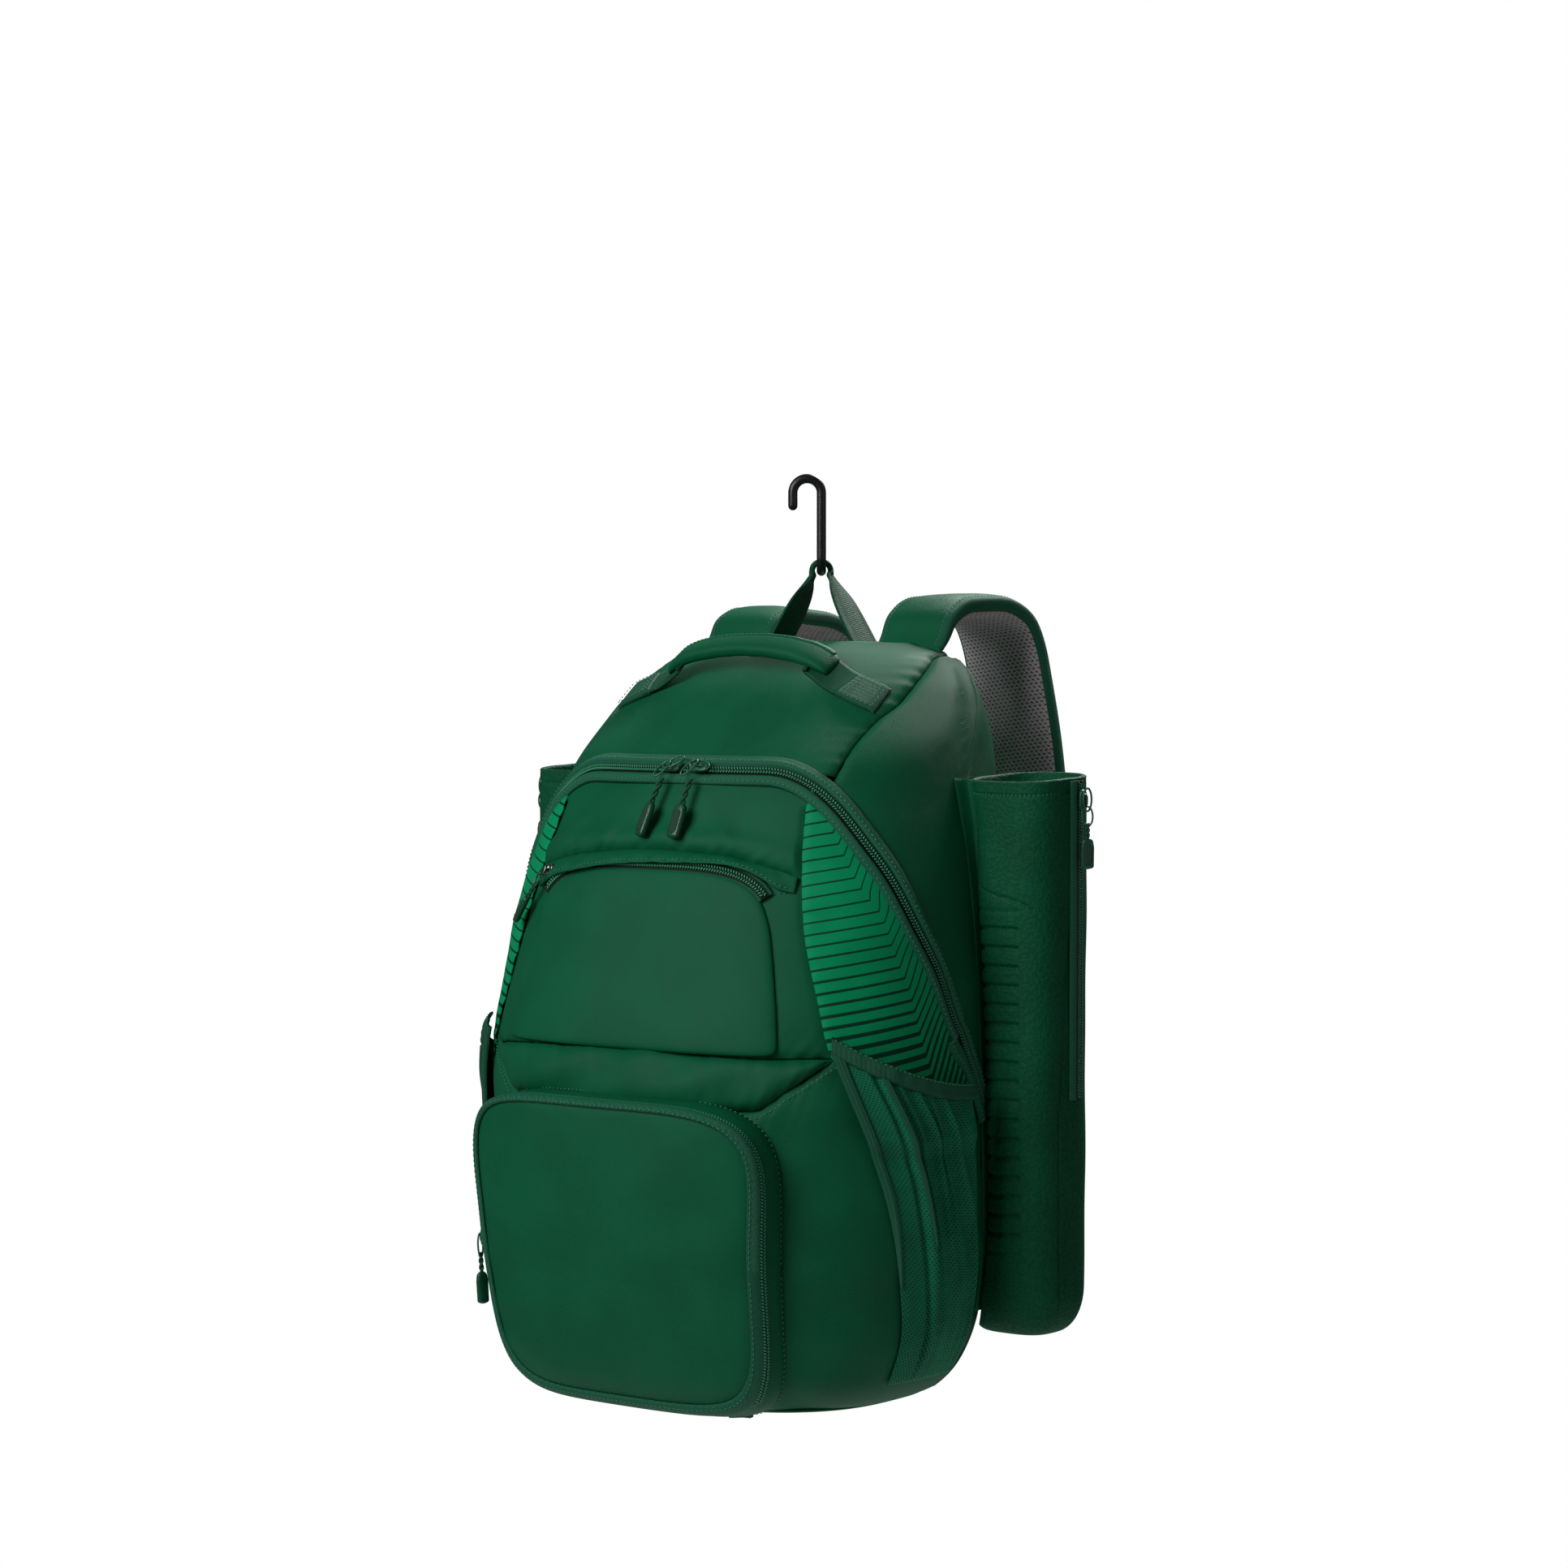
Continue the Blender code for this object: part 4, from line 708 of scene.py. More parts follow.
def coil(centres, normals, pitch=COIL_PITCH, row=0.0017, tooth=(0.0023, 0.0013, 0.0012)):
    """Two rows of slanting teeth along a line: six-sided rods that lean towards each other."""
    gone = reach(centres[None], 1)[0]
    at = np.arange(pitch, gone[-1] - pitch, pitch)
    place, out = (np.stack([np.interp(at, gone, part[:, k]) for k in range(3)], -1)
                  for part in (centres, normals))
    ahead = np.gradient(place, axis=0)
    ahead /= np.linalg.norm(ahead, axis=-1, keepdims=True)
    out = out - (out * ahead).sum(-1, keepdims=True) * ahead
    out /= np.linalg.norm(out, axis=-1, keepdims=True)
    beside = np.cross(out, ahead)
    angle = np.arange(6) * np.pi / 3
    parts = []
    for sign in (-1, 1):
        lean = ahead * 0.55 + beside * sign
        lean /= np.linalg.norm(lean, axis=-1, keepdims=True)
        wide = np.cross(out, lean)
        middle = place + beside * sign * row * 0.72 + ahead * pitch / 4 * sign
        ring = (wide[:, None] * np.cos(angle)[:, None] * tooth[1] / 2 + out[:, None] * np.sin(angle)[:, None]
                * tooth[2] / 2)
        rings = [middle[:, None] + lean[:, None] * size * tooth[0] / 2 + ring * narrow
                 for size, narrow in ((-1, 0.35), (-0.7, 1), (0.7, 1), (1, 0.35))]
        corners = np.stack(rings, 1)
        quads = grid_faces(4, 6, wrap=True)
        caps = np.array([(5, 4, 3, 2), (5, 2, 1, 0), (18, 19, 20, 21), (18, 21, 22, 23)])
        faces = np.concatenate([quads, caps])
        faces = (faces[None] + 24 * np.arange(len(at))[:, None, None]).reshape(-1, 4)
        if np.linalg.det(np.stack([ring[0, 0], ring[0, 1], lean[0]])) > 0:
            faces = faces[:, ::-1]
        parts.append((corners.reshape(-1, 3), faces))
    return join(parts)


turns, heights = main_zip_path(420)
offsets = np.array((-0.50, -0.49, -0.42, -0.30, -0.21, -0.175, -0.14, 0, 0.14, 0.175, 0.22, 0.32, 0.42, 0.49,
                    0.5)) * ZIP_TAPE
lifts = np.array((0.0002, 0.0014, 0.0022, 0.0032, 0.0036, 0.0022, 0.0006, 0.0004, 0.0006, 0.0022, 0.0038,
                  0.0036,
                  0.0032, 0.0022, 0.0002))
make_cloth("main_zip_tape", strip(skin, turns, heights, offsets, lifts), zip_tape, ("main_zip",),
           wall=0.0008)
make_piece("main_zip_coil", coil(*line_on(skin, turns, heights, 0.0022)), coil_finish,
           ("main_zip",))
rows = [stitches(*line_on(skin, turns, heights, 0.0036, aside)) for aside in (-0.0062, 0.0088)]
make_piece("main_zip_stitching", join(rows), thread)


# The main zip's sliders: moulded bodies with a bridge, and pulls made of two linked wire loops, a
# twisted cord and a rubber grip with a rougher field on its face. They meet on the top run.
SLIDER_LENGTH, SLIDER_WIDTH, SLIDER_THICK = 0.015, 0.008, 0.005
# side: x along the top run, how far the pull leans aside, tilt of the first loop in degrees, the pull's turn
MAIN_SLIDERS = {"left": (-0.001, -0.010, 24, 0.35), "right": (0.021, -0.003, -14, 0.10)}
ZIP_LIFT = 0.0036           # where a slider's foot stands over the skin


def rounded_ring(count, roundness):
    """Points round a square of half side 1 whose corners are rounded off as a superellipse."""
    angle = (np.arange(count) + 0.5) * 2 * np.pi / count
    ways = np.stack([np.cos(angle), np.sin(angle)], -1)
    return np.sign(ways) * np.abs(ways) ** (2 / roundness)


def unit(vectors):
    return vectors / np.linalg.norm(vectors, axis=-1, keepdims=True)


def swept(centres, side, widths, thicks, ring, loop=False):
    """A ring carried along a line: side is the width's way, and the thickness is square to both."""
    centres = np.asarray(centres, float)
    along = unit(np.roll(centres, -1, 0) - np.roll(centres, 1, 0) if loop else np.gradient(centres, axis=0))
    side = np.broadcast_to(np.asarray(side, float), centres.shape)
    side = unit(side - (side * along).sum(-1, keepdims=True) * along)
    face = np.cross(along, side)
    widths, thicks = (np.broadcast_to(part, len(centres))[:, None, None] for part in (widths, thicks))
    return (centres[:, None] + side[:, None] * ring[None, :, :1] * widths / 2
            + face[:, None] * ring[None, :, 1:] * thicks / 2)


def bar(rings, loop=False):
    """A closed shape through a row of rings, with flat ends or joined round to its start."""
    rows, columns = rings.shape[:2]
    faces, cloth = grid_faces(rows, columns, True, loop).tolist(), grid_cloth(rings, True, loop)
    if not loop:
        last = (rows - 1) * columns
        faces += [list(range(columns))[::-1], [last + corner for corner in range(columns)]]
        cloth = np.concatenate([cloth, np.zeros((2 * columns, 2))])
    return rings.reshape(-1, 3), faces, cloth


def rounded_ends(share, blunt=0.06):
    """Sizes along a bar that run out in a quarter circle over the last part at each end."""
    near = np.clip(np.minimum(share, 1 - share) / blunt, 0, 1)
    return np.sqrt(np.clip(1 - (1 - near) ** 2, 0.02, 1))


def wire_loop(centre, long_way, wide_way, length, width, wire, count=40):
    """A closed oval of round wire in the plane of two ways."""
    angle = np.arange(count)[:, None] * 2 * np.pi / count
    line = centre + long_way * np.cos(angle) * length / 2 + wide_way * np.sin(angle) * width / 2
    return bar(swept(line, np.cross(long_way, wide_way), wire, wire, rounded_ring(8, 2), loop=True),
               loop=True)


def slider_body(foot, way, out, size=1.0):
    """A zip slider: a waisted block, and a bridge that arches over it from end to end."""
    length, width, thick = (part * size for part in (SLIDER_LENGTH, SLIDER_WIDTH, SLIDER_THICK))
    share = np.linspace(0, 1, 25)
    outline = np.interp(share, (0, 0.25, 0.75, 1), (0.72, 1, 1, 0.62)) * rounded_ends(share, 0.12)
    line = foot + out * thick * 0.32 + way * ((share - 0.5) * length)[:, None]
    block = swept(line, np.cross(out, way), width * outline, thick * 0.62 * rounded_ends(share, 0.08),
                  rounded_ring(20, 4))
    arch = np.linspace(-1, 1, 17)
    line = (foot + out * (thick * (0.52 + 0.42 * (1 - arch ** 4)))[:, None]
            + way * (arch * length * 0.33)[:, None])
    bridge = swept(line, np.cross(out, way), width * 0.34, thick * 0.20, rounded_ring(12, 4))
    return [bar(block), bar(bridge)]


def moulded(name, colour, light, rough=0.34, grain=0.0011, depth=0.00006):
    """Moulded plastic or rubber: a fine grain, paler where it is rubbed, and faint flow marks."""
    finish = Finish(name, {"Specular IOR Level": 0.45})
    fine = finish.noise(grain, 3.0).step(0.35, 0.65)
    broad = finish.noise(0.012, 2.0).step(0.3, 0.7)
    finish.feed(finish.shader, {"Base Color": finish.mix(broad * 0.5 + fine * 0.2, colour, light),
                                "Roughness": rough + broad * 0.08 + fine * 0.06})
    finish.relief(fine, depth)
    return finish


def cord_finish(name, colour, light):
    """Braided cord: two sets of strands that cross on the slant."""
    finish = Finish(name, {"Specular IOR Level": 0.25, "Sheen Weight": 0.1})
    u, v = finish.cloth()
    braid = ((u + v) / 0.0013).wave() * ((u - v) / 0.0013).wave()
    finish.feed(finish.shader,
                {"Base Color": finish.mix(braid, colour, light), "Roughness": 0.75 - braid * 0.15})
    finish.relief(braid, 0.00015)
    return finish


slider_paint = moulded("slider_paint", (0.010, 0.085, 0.045), (0.020, 0.135, 0.075), 0.24)
wire_paint = moulded("wire_paint", (0.012, 0.100, 0.052), (0.030, 0.170, 0.100), 0.16)
grip_rubber = moulded("grip_rubber", (0.0025, 0.055, 0.024), (0.005, 0.085, 0.040), 0.26)
grip_field = moulded("grip_field", (0.0018, 0.036, 0.017), (0.003, 0.050, 0.024), 0.62, 0.0007, 0.00018)
pull_cord = cord_finish("pull_cord", (0.0030, 0.060, 0.027), (0.0075, 0.110, 0.055))


def hanging_line(surface, u, v, length, lean, lift, count):
    """A line on a surface that hangs from (u, v) by its length and leans aside by lean, with its normals."""
    share = np.linspace(0, 1, count)
    stretch_u, stretch_v = (np.linalg.norm(way) for way in surface.tangents(np.array(u), np.array(v)))
    us, vs = u + share * lean / stretch_u, v - share * np.sqrt(length ** 2 - lean ** 2) / stretch_v
    return surface.lifted(us, vs, lift), surface.normal(us, vs)


def make_pull(name, surface, u, v, length, lean, lift, turn, node, marks=(0.24, 0.54), size=1.0):
    """A cord and grip that hang down a surface from a slider; turn rolls the grip about its own line."""
    line, out = hanging_line(surface, u, v, length, lean, lift, 90)
    ahead = unit(np.gradient(line, axis=0))
    beside = np.cross(out, ahead)
    first, second = (round(mark * 89) for mark in marks)
    run = slice(first, second + 4)
    twist = np.linspace(0, 3.2 * np.pi, second + 4 - first)[:, None]
    strands = [line[run] + (beside[run] * np.cos(twist + phase) + out[run] * np.sin(twist + phase) * 0.7)
               * 0.0009 * size for phase in (0, np.pi)]
    make_piece(f"{name}_cord", join([bar(swept(strand, beside[run], 0.0017 * size, 0.0017 * size,
                                               rounded_ring(10, 2))) for strand in strands]),
               pull_cord, (node,))
    share = np.linspace(0, 1, 90 - second)
    ends = rounded_ends(share, 0.10)
    side = beside[second:] * np.cos(turn) + out[second:] * np.sin(turn)
    face = out[second:] * np.cos(turn) - beside[second:] * np.sin(turn)
    width = 0.0078 * size * np.interp(share, (0, 0.12, 0.3, 1), (0.62, 0.85, 1, 0.97)) * ends
    body = swept(line[second:], side, width,
                 0.0040 * size * np.interp(share, (0, 0.2, 1), (0.8, 1, 1)) * ends,
                 rounded_ring(20, 3.0))
    make_piece(f"{name}_grip", bar(body), grip_rubber, (node,))
    inner = slice(second + 9, 84)
    plate = swept(line[inner] + face[9:84 - second] * 0.0018 * size, side[9:84 - second],
                  0.0052 * size * rounded_ends(np.linspace(0, 1, 75 - second), 0.14), 0.0009 * size,
                  rounded_ring(12, 4))
    make_piece(f"{name}_field", bar(plate), grip_field)


for side, (x, lean, tilt, turn) in MAIN_SLIDERS.items():
    u, v = float(turn_at(np.array(x), np.array(FLAP_TOP))), FLAP_TOP
    foot, out = skin.lifted(u, v, ZIP_LIFT), skin.normal(np.array(u), np.array(v))
    way = unit(np.array((1.0, 0, 0)) - out[0] * out)
    down = np.cross(out, way) * -1
    make_piece(f"main_zip_slider_{side}_body", join(slider_body(foot, way, out)), slider_paint,
               (f"main_zip_slider_{side}",))
    tilt = np.radians(tilt)
    long_way = way * np.cos(tilt) - down * np.sin(tilt)
    across = unit(down * np.cos(tilt) + way * np.sin(tilt) + out * 0.35)
    middle = foot + out * 0.0050 + long_way * 0.0028
    loops = [wire_loop(middle, long_way, across, 0.0165, 0.0088, 0.0014)]
    lower = unit(down * 0.92 - way * 0.35 + out * 0.18)
    loops.append(wire_loop(middle - long_way * 0.0050 + lower * 0.0046 + out * 0.0006, lower,
                           unit(way * 0.9 + down * 0.3 + out * 0.25), 0.0150, 0.0090, 0.0013))
    make_piece(f"main_zip_loops_{side}", join(loops), wire_paint, (f"main_zip_slider_{side}",))
    make_pull(f"main_zip_pull_{side}", skin, u, v, 0.056, lean, ZIP_LIFT + 0.0052, turn,
              f"main_zip_pull_{side}",
              marks=(0.20, 0.52), size=1.3)


# The bright panels between the pockets and the zip: a printed polyester with dark stripes that rise a
# little to a spine and then steeply to the zip, thin at the top and as wide as the gaps at the foot.
SPINE = ((0.212, 0.915), (0.2315, 0.8852), (0.2536, 0.8471), (0.2757, 0.8130), (0.3000, 0.7529),
         (0.3257, 0.6950), (0.3402, 0.6250), (0.3631, 0.5505), (0.3794, 0.4984), (0.400, 0.420))    # z, turn
STRIPE_PITCH = 0.0071
STRIPE_RISES = (0.15, 1.15)             # before and after the spine
STRIPE_WIDTHS = ((0.215, 0.50), (0.235, 0.42), (0.26, 0.28), (0.30, 0.16), (0.34, 0.12), (0.40, 0.15))


def stripe_finish():
    """Print: bright cloth and dark stripes; the map's u is the stripe's number, v its width's share."""
    finish = Finish("print_cloth", {"Specular IOR Level": 0.08})
    number, width = finish.split(finish.node("ShaderNodeUVMap", {"uv_map": "stripes"}))[:2]
    u, v = finish.cloth()
    weave = ((u + v) / 0.0011).wave() * 0.6 + ((u - v) / 0.0011).wave() * 0.4
    ragged = finish.noise(0.0012, 2.0) * 0.05 - 0.025
    line = (number.zigzag() * 2 + ragged - width + 0.03).step(0.0, 0.10)
    bright = finish.mix(weave * 0.5 + finish.noise(0.03, 3.0).step(0.35, 0.65) * 0.3, (0.0004, 0.240, 0.090),
                        (0.0010, 0.330, 0.130))
    dark = finish.mix(weave * 0.5, (0.0012, 0.036, 0.018), (0.0030, 0.055, 0.030))
    finish.feed(finish.shader,
                {"Base Color": finish.mix(line, dark, bright), "Roughness": 0.62 - weave * 0.1})
    finish.relief(weave, 0.00010)
    return finish


print_cloth = stripe_finish()
tape_u, tape_v = skin.beside(turns, heights, [ZIP_TAPE / 2 - 0.0015])
tape_half = slice(0, 180)       # its places on one side, from the foot
for side, sign in (("left", -1), ("right", 1)):
    z = np.linspace(PRINT_FOOT - 0.004, PRINT_TOP + 0.012, 150)[:, None]
    order = np.argsort(tape_v[tape_half, 0])
    start = turn_at(print_edge(z), z)
    end = np.interp(z, tape_v[tape_half, 0][order], tape_u[tape_half, 0][order])
    turn = start + (np.maximum(end, start + 0.004) - start) * np.linspace(0, 1, 70)[None, :]
    z = z + 0 * turn
    flat = skin_point(turn, z)
    ahead = reach(skin_point(np.linspace(0, 1, 200)[None, :] * turn[:, -1:], z[:, :1]), 1)
    run = np.stack([np.interp(row, share, gone) for row, share, gone in zip(
        turn, np.linspace(0, 1, 200)[None, :] * turn[:, -1:], ahead)])
    spine = np.array([np.interp(at, share, gone) for at, share, gone in zip(
        smooth_line(SPINE, z[:, 0]), np.linspace(0, 1, 200)[None, :] * turn[:, -1:], ahead)])
    off = run - spine[:, None]
    number = (z - off * np.where(off < 0, *STRIPE_RISES)) / STRIPE_PITCH
    width = smooth_line(STRIPE_WIDTHS, z)
    lift = 0.0021 + 0.0004 * swells(flat[..., 0], z, 0.05, 21)
    points = skin.lifted(sign * turn, z, lift + tuck(flat, ("left",), depth=0.0012, width=0.0025, seed=22))
    stripes = np.stack([number, width], -1)
    if sign < 0:
        points, stripes = points[:, ::-1], stripes[:, ::-1]
    panel = make_cloth(f"print_panel_{side}_cloth", points, print_cloth,
                       (f"print_panel_{side}",),
                       wall=0.0010)
    corners = np.stack([stripes[:-1, :-1], stripes[:-1, 1:], stripes[1:, 1:], stripes[1:, :-1]],
                       2).reshape(-1, 2)
    panel.data.uv_layers.new(name="stripes").data.foreach_set("uv", corners.astype(np.float32).ravel())


# The upper pocket: a lightly padded face sewn to the flap, closed along its rounded top by a coil zip.
# A hood of the same cloth hangs over the zip, with a row of stitches along its edge.
UPPER_MIDDLE, UPPER_HALF = 0.2930, 0.0575
UPPER_SIDE = ((0.220, 0.1140), (0.2344, 0.1130), (0.2733, 0.1068), (0.3084, 0.0990), (0.330, 0.0955),
              (0.36, 0.0955))
HOOD_FOOT = ((-0.112, 0.330), (-0.098, 0.3375), (-0.080, 0.3430), (-0.063, 0.3462), (-0.0387, 0.3502),
             (0.0, 0.3534), (0.05, 0.3543), (0.0708, 0.3520), (0.0842, 0.3474), (0.0992, 0.3400),
             (0.112, 0.3375))


def upper_outline(angle, extra=0.0):
    """Outline of the upper pocket: a superellipse, rounder above its middle and wider towards its foot."""
    c, s = np.cos(angle), np.sin(angle)
    power = np.where(s > 0, 2 / 3.6, 2 / 26)
    z = UPPER_MIDDLE + (UPPER_HALF + extra) * np.sign(s) * np.abs(s) ** power
    x = (smooth_line(UPPER_SIDE, z) + extra) * np.sign(c) * np.abs(c) ** power
    return x, z


def even_turns(outline, start, end, count):
    """Angles between two turns at which an outline's points lie evenly spaced."""
    fine = np.linspace(start, end, 6000) * 2 * np.pi
    x, z = outline(fine)
    length = np.concatenate([[0], np.cumsum(np.hypot(np.diff(x), np.diff(z)))])
    return np.interp(np.linspace(0, length[-1], count), length, fine)


def filled_dome(points, flat):
    """A ring grid from rim to middle as one shape, its last ring closed, with the flat place as its cloth."""
    rows, columns = points.shape[:2]
    faces = grid_faces(rows, columns, wrap=True).tolist() + [
        list(range((rows - 1) * columns, rows * columns))]
    order = np.concatenate([np.ravel(face) for face in faces])
    return points, faces, flat.reshape(-1, 2)[order]


def pocket_face(outline, middle, ring_shares, lift, seed):
    """A padded face: rings of its outline drawn in towards the middle, each raised by lift(share, x, z)."""
    angle = even_turns(outline, 0, 1, 241)[:-1]
    share = np.asarray(ring_shares)[::-1, None]
    x, z = outline(angle)
    x, z = share * x, middle + share * (z - middle)
    relief = lift(share, x, z) + 0.0005 * swells(x, z, 0.07, seed) * (1 - share ** 6)
    return filled_dome(skin.lifted(turn_at(x, z), z, relief), np.stack([x, z], -1))


FACE_SHARES = np.concatenate([[0.02, 0.08], np.linspace(0.16, 0.86, 17),
                              1 - 0.14 * np.linspace(0.9, 0, 12) ** 1.5])
upper_face = make_piece("upper_pocket_face", pocket_face(
    upper_outline, UPPER_MIDDLE, FACE_SHARES,
    lambda share, x, z: 0.0008 + 0.0026 * np.sqrt(np.clip(1 - share ** 40, 0, 1)) + 0.0012 * (1 - share ** 2),
    31),
    shell_twill, ("upper_pocket",), wall=0.0015)

angle = even_turns(upper_outline, 0.085, 0.425, 200)
zip_x, zip_z = upper_outline(angle, 0.0032)
zip_turn = turn_at(zip_x, zip_z)
make_cloth("upper_zip_tape", strip(skin, zip_turn, zip_z, np.linspace(-0.006, 0.006, 7),
                                   np.array((0.0012, 0.0024, 0.0030, 0.0030, 0.0030, 0.0024, 0.0012))),
           zip_tape, ("upper_zip",), wall=0.0008)
make_piece("upper_zip_coil", coil(*line_on(skin, zip_turn, zip_z, 0.0040)), coil_finish,
           ("upper_zip",))

x = np.linspace(-0.104, 0.1075, 181)[None, :]
foot, top = smooth_line(HOOD_FOOT, x), smooth_line(HOOD_LINE, x) + 0.0010
rise = np.linspace(0, 1, 26)[:, None]
z = foot + (top - foot) * rise
ends = np.clip((0.1078 - np.abs(x)) / 0.030, 0, 1) ** 0.8
lift = 0.0012 + 0.0062 * (1 - rise ** 2.2) * ends
for at, lean, size in ((-0.066, 0.6, 0.0011), (-0.03, -0.5, 0.0009), (0.004, 0.7, 0.0011),
                       (0.035, -0.6, 0.0010),
                       (0.066, -1.0, 0.0013), (0.088, -1.2, 0.0010)):
    lift = lift + crease(x, z, (at, 0.352), (at + lean * 0.010, 0.3615), 0.0035, size)
points = skin.lifted(turn_at(x, z), z, lift + 0.0005 * swells(x, z, 0.018, 33) * np.sin(np.pi * rise))
make_cloth("pocket_hood_cloth", points, shell_twill, ("pocket_hood",), wall=0.0016)
stitch_x = np.linspace(-0.100, 0.104, 160)
stitch_z = smooth_line(HOOD_FOOT, stitch_x) + 0.0020
ends = np.clip((0.1078 - np.abs(stitch_x)) / 0.030, 0, 1) ** 0.8
stitch_turn = turn_at(stitch_x, stitch_z)
make_piece("hood_stitching", stitches(skin.lifted(stitch_turn, stitch_z, 0.0015 + 0.0061 * ends),
                                      skin.normal(stitch_turn, stitch_z)), thread)
seam_x = np.linspace(0.0835, 0.1075, 30)
seam_z = 0.3362 + 0.0030 * (seam_x - 0.0835) / 0.024
make_piece("cheek_stitching", stitches(*line_on(skin, turn_at(seam_x, seam_z), seam_z, 0.0006)), thread)

# The upper pocket's slider: bright metal, with a long flat tab that carries a short cord and grip.
SMALL_PULL = 0.045
metal = Finish("slider_metal", {"Metallic": 1.0, "Specular IOR Level": 0.5})
scuff = metal.noise(0.0016, 3.0).step(0.35, 0.7)
metal.feed(metal.shader, {"Base Color": metal.mix(scuff, (0.10, 0.17, 0.14), (0.30, 0.40, 0.35)),
                          "Roughness": 0.22 + scuff * 0.14})
metal.relief(scuff, 0.00004)
slider_x = -0.93 * UPPER_WIDTH / 2
slider_z = 0.3565 - 0.013 * 0.93 ** 2.5
u = float(turn_at(np.array(slider_x), np.array(slider_z)))
foot, out = skin.lifted(u, slider_z, 0.0036), skin.normal(np.array(u), np.array(slider_z))
way = unit(np.array((1.0, 0, 0.35)) - (np.array((1.0, 0, 0.35)) @ out) * out)
make_piece("upper_zip_slider_body", join(slider_body(foot, way, out, 0.8)), metal,
           ("upper_zip_slider",))
line, normals = hanging_line(skin, u, slider_z, SMALL_PULL, -0.024, 0.0080, 90)
ahead = unit(line[30] - line[0])
aside = np.cross(normals[10], ahead)
make_piece("upper_zip_tab", wire_loop(line[13], ahead, aside, 0.0170, 0.0052, 0.0013), metal,
           ("upper_zip_slider",))
make_pull("upper_zip_pull", skin, u, slider_z, SMALL_PULL, -0.024, 0.0080, 0.5, "upper_zip_pull",
          (0.27, 0.52), 1.1)


# The lower pocket: a large padded face bound with herringbone tape, its coil zip lying in a plain
# gusset that slants down to the flap, so that the pocket stands out like a shallow box.
LOWER_MIDDLE, LOWER_HALF = 0.10345, 0.09345
LOWER_HALF_WIDTH = 0.61 * BODY_WIDTH / 2
LOWER_DEPTHS = ((0.0, 0.38), (0.030, 0.47), (0.063, 0.58), (0.094, 0.68), (0.125, 0.78), (0.155, 0.88),
                (0.200, 1.0))
LOWER_SIDE_PROFILE = np.array((     # share of the way from the flap to the face; beyond the outline; depth
    (0.00, 0.0096, -0.0010), (0.06, 0.0092, 0.0022), (0.20, 0.0078, 0.0080), (0.40, 0.0054, 0.0140),
    (0.56, 0.0032, 0.0182), (0.64, 0.0022, 0.0200), (0.70, 0.0015, 0.0216), (0.76, 0.0010, 0.0230),
    (0.82, 0.0002, 0.0250), (0.88, -0.0012, 0.0268), (0.94, -0.0030, 0.0279), (1.00, -0.0056, 0.0283)))


def lower_outline(angle, extra=0.0):
    """Outline of the lower pocket: a superellipse that is a little narrower and squarer at its foot."""
    c, s = np.cos(angle), np.sin(angle)
    across, up = (np.sign(part) * np.abs(part) ** (2 / np.where(s > 0, 5.0, 6.0)) for part in (c, s))
    narrow = 1 - 0.03 * ((1 - up) / 2) ** 2
    return (LOWER_HALF_WIDTH * narrow + extra) * across, LOWER_MIDDLE + (LOWER_HALF + extra) * up


def lower_fade(z):
    """The pocket's depth at height z as a share of its full depth: shallow at the foot."""
    return smooth_line(LOWER_DEPTHS, z)


def lower_side_point(angle, share):
    """The side of the lower pocket, from the flap (share 0) over the edge to the face (share 1)."""
    angle, share = np.broadcast_arrays(np.asarray(angle, float), np.asarray(share, float))
    extra, depth = (np.interp(share, LOWER_SIDE_PROFILE[:, 0], LOWER_SIDE_PROFILE[:, column])
                    for column in (1, 2))
    extra = extra + np.maximum(np.sin(angle), 0) * np.interp(share, (0, 0.7, 1), (0, 0.0047, 0.0092))
    x, z = lower_outline(angle, extra)
    return skin.lifted(turn_at(x, z), z, 0.0009 + depth * lower_fade(z))


lower_side = Surface(lower_side_point)
round_angles = even_turns(lower_outline, 0, 1, 361)[:-1]


def lower_band(name, start, end, rows, lift, finish, replaces=(), wall=0.0012):
    """A band round the pocket's side between two shares, raised by lift."""
    share = np.linspace(start, end, rows)[:, None]
    raise_by = lift if np.ndim(lift) == 0 else np.asarray(lift)[:, None]
    make_cloth(name, lower_side.lifted(round_angles[None, :], share, raise_by), finish, replaces, wall,
               True)


lower_band("lower_gusset", 0.0, 0.66, 16, 0.0, shell_twill, ("lower_zip",))
lower_band("lower_zip_tape", 0.58, 0.80, 8, (0.0, 0.0006, 0.0008, 0.0008, 0.0008, 0.0008, 0.0006, 0.0),
           binding_tape,
           ("lower_zip",))
lower_band("lower_binding", 0.765, 1.0, 14,
           (0.0006, 0.0014, 0.0017, 0.0018, 0.0018, 0.0018, 0.0018, 0.0018, 0.0018, 0.0018, 0.0018, 0.0017,
            0.0013, -0.0004), binding_tape,
           ("lower_zip",))
lower_face = make_piece("lower_pocket_face", pocket_face(
    lambda angle: lower_outline(angle, -0.0048 + 0.0090 * np.maximum(np.sin(angle), 0)), LOWER_MIDDLE,
    FACE_SHARES,
    lambda share, x, z: (0.0009 + 0.0281 * lower_fade(z) - 0.0012 * share ** 40 + 0.0022 * (1 - share ** 2.5)
                         + crease(x, z, (-0.104, 0.060), (-0.055, 0.066), 0.008, 0.0010)
                         + crease(x, z, (-0.104, 0.094), (-0.060, 0.098), 0.009, 0.0009)
                         + crease(x, z, (-0.104, 0.035), (-0.060, 0.044), 0.007, 0.0009)), 41),
    shell_twill, ("lower_pocket",), wall=0.0015)
zip_angles = even_turns(lower_outline, -0.12, 0.62, 500)
make_piece("lower_zip_coil", coil(*line_on(lower_side, zip_angles, 0 * zip_angles + 0.70, 0.0018)),
           coil_finish,
           ("lower_zip",))
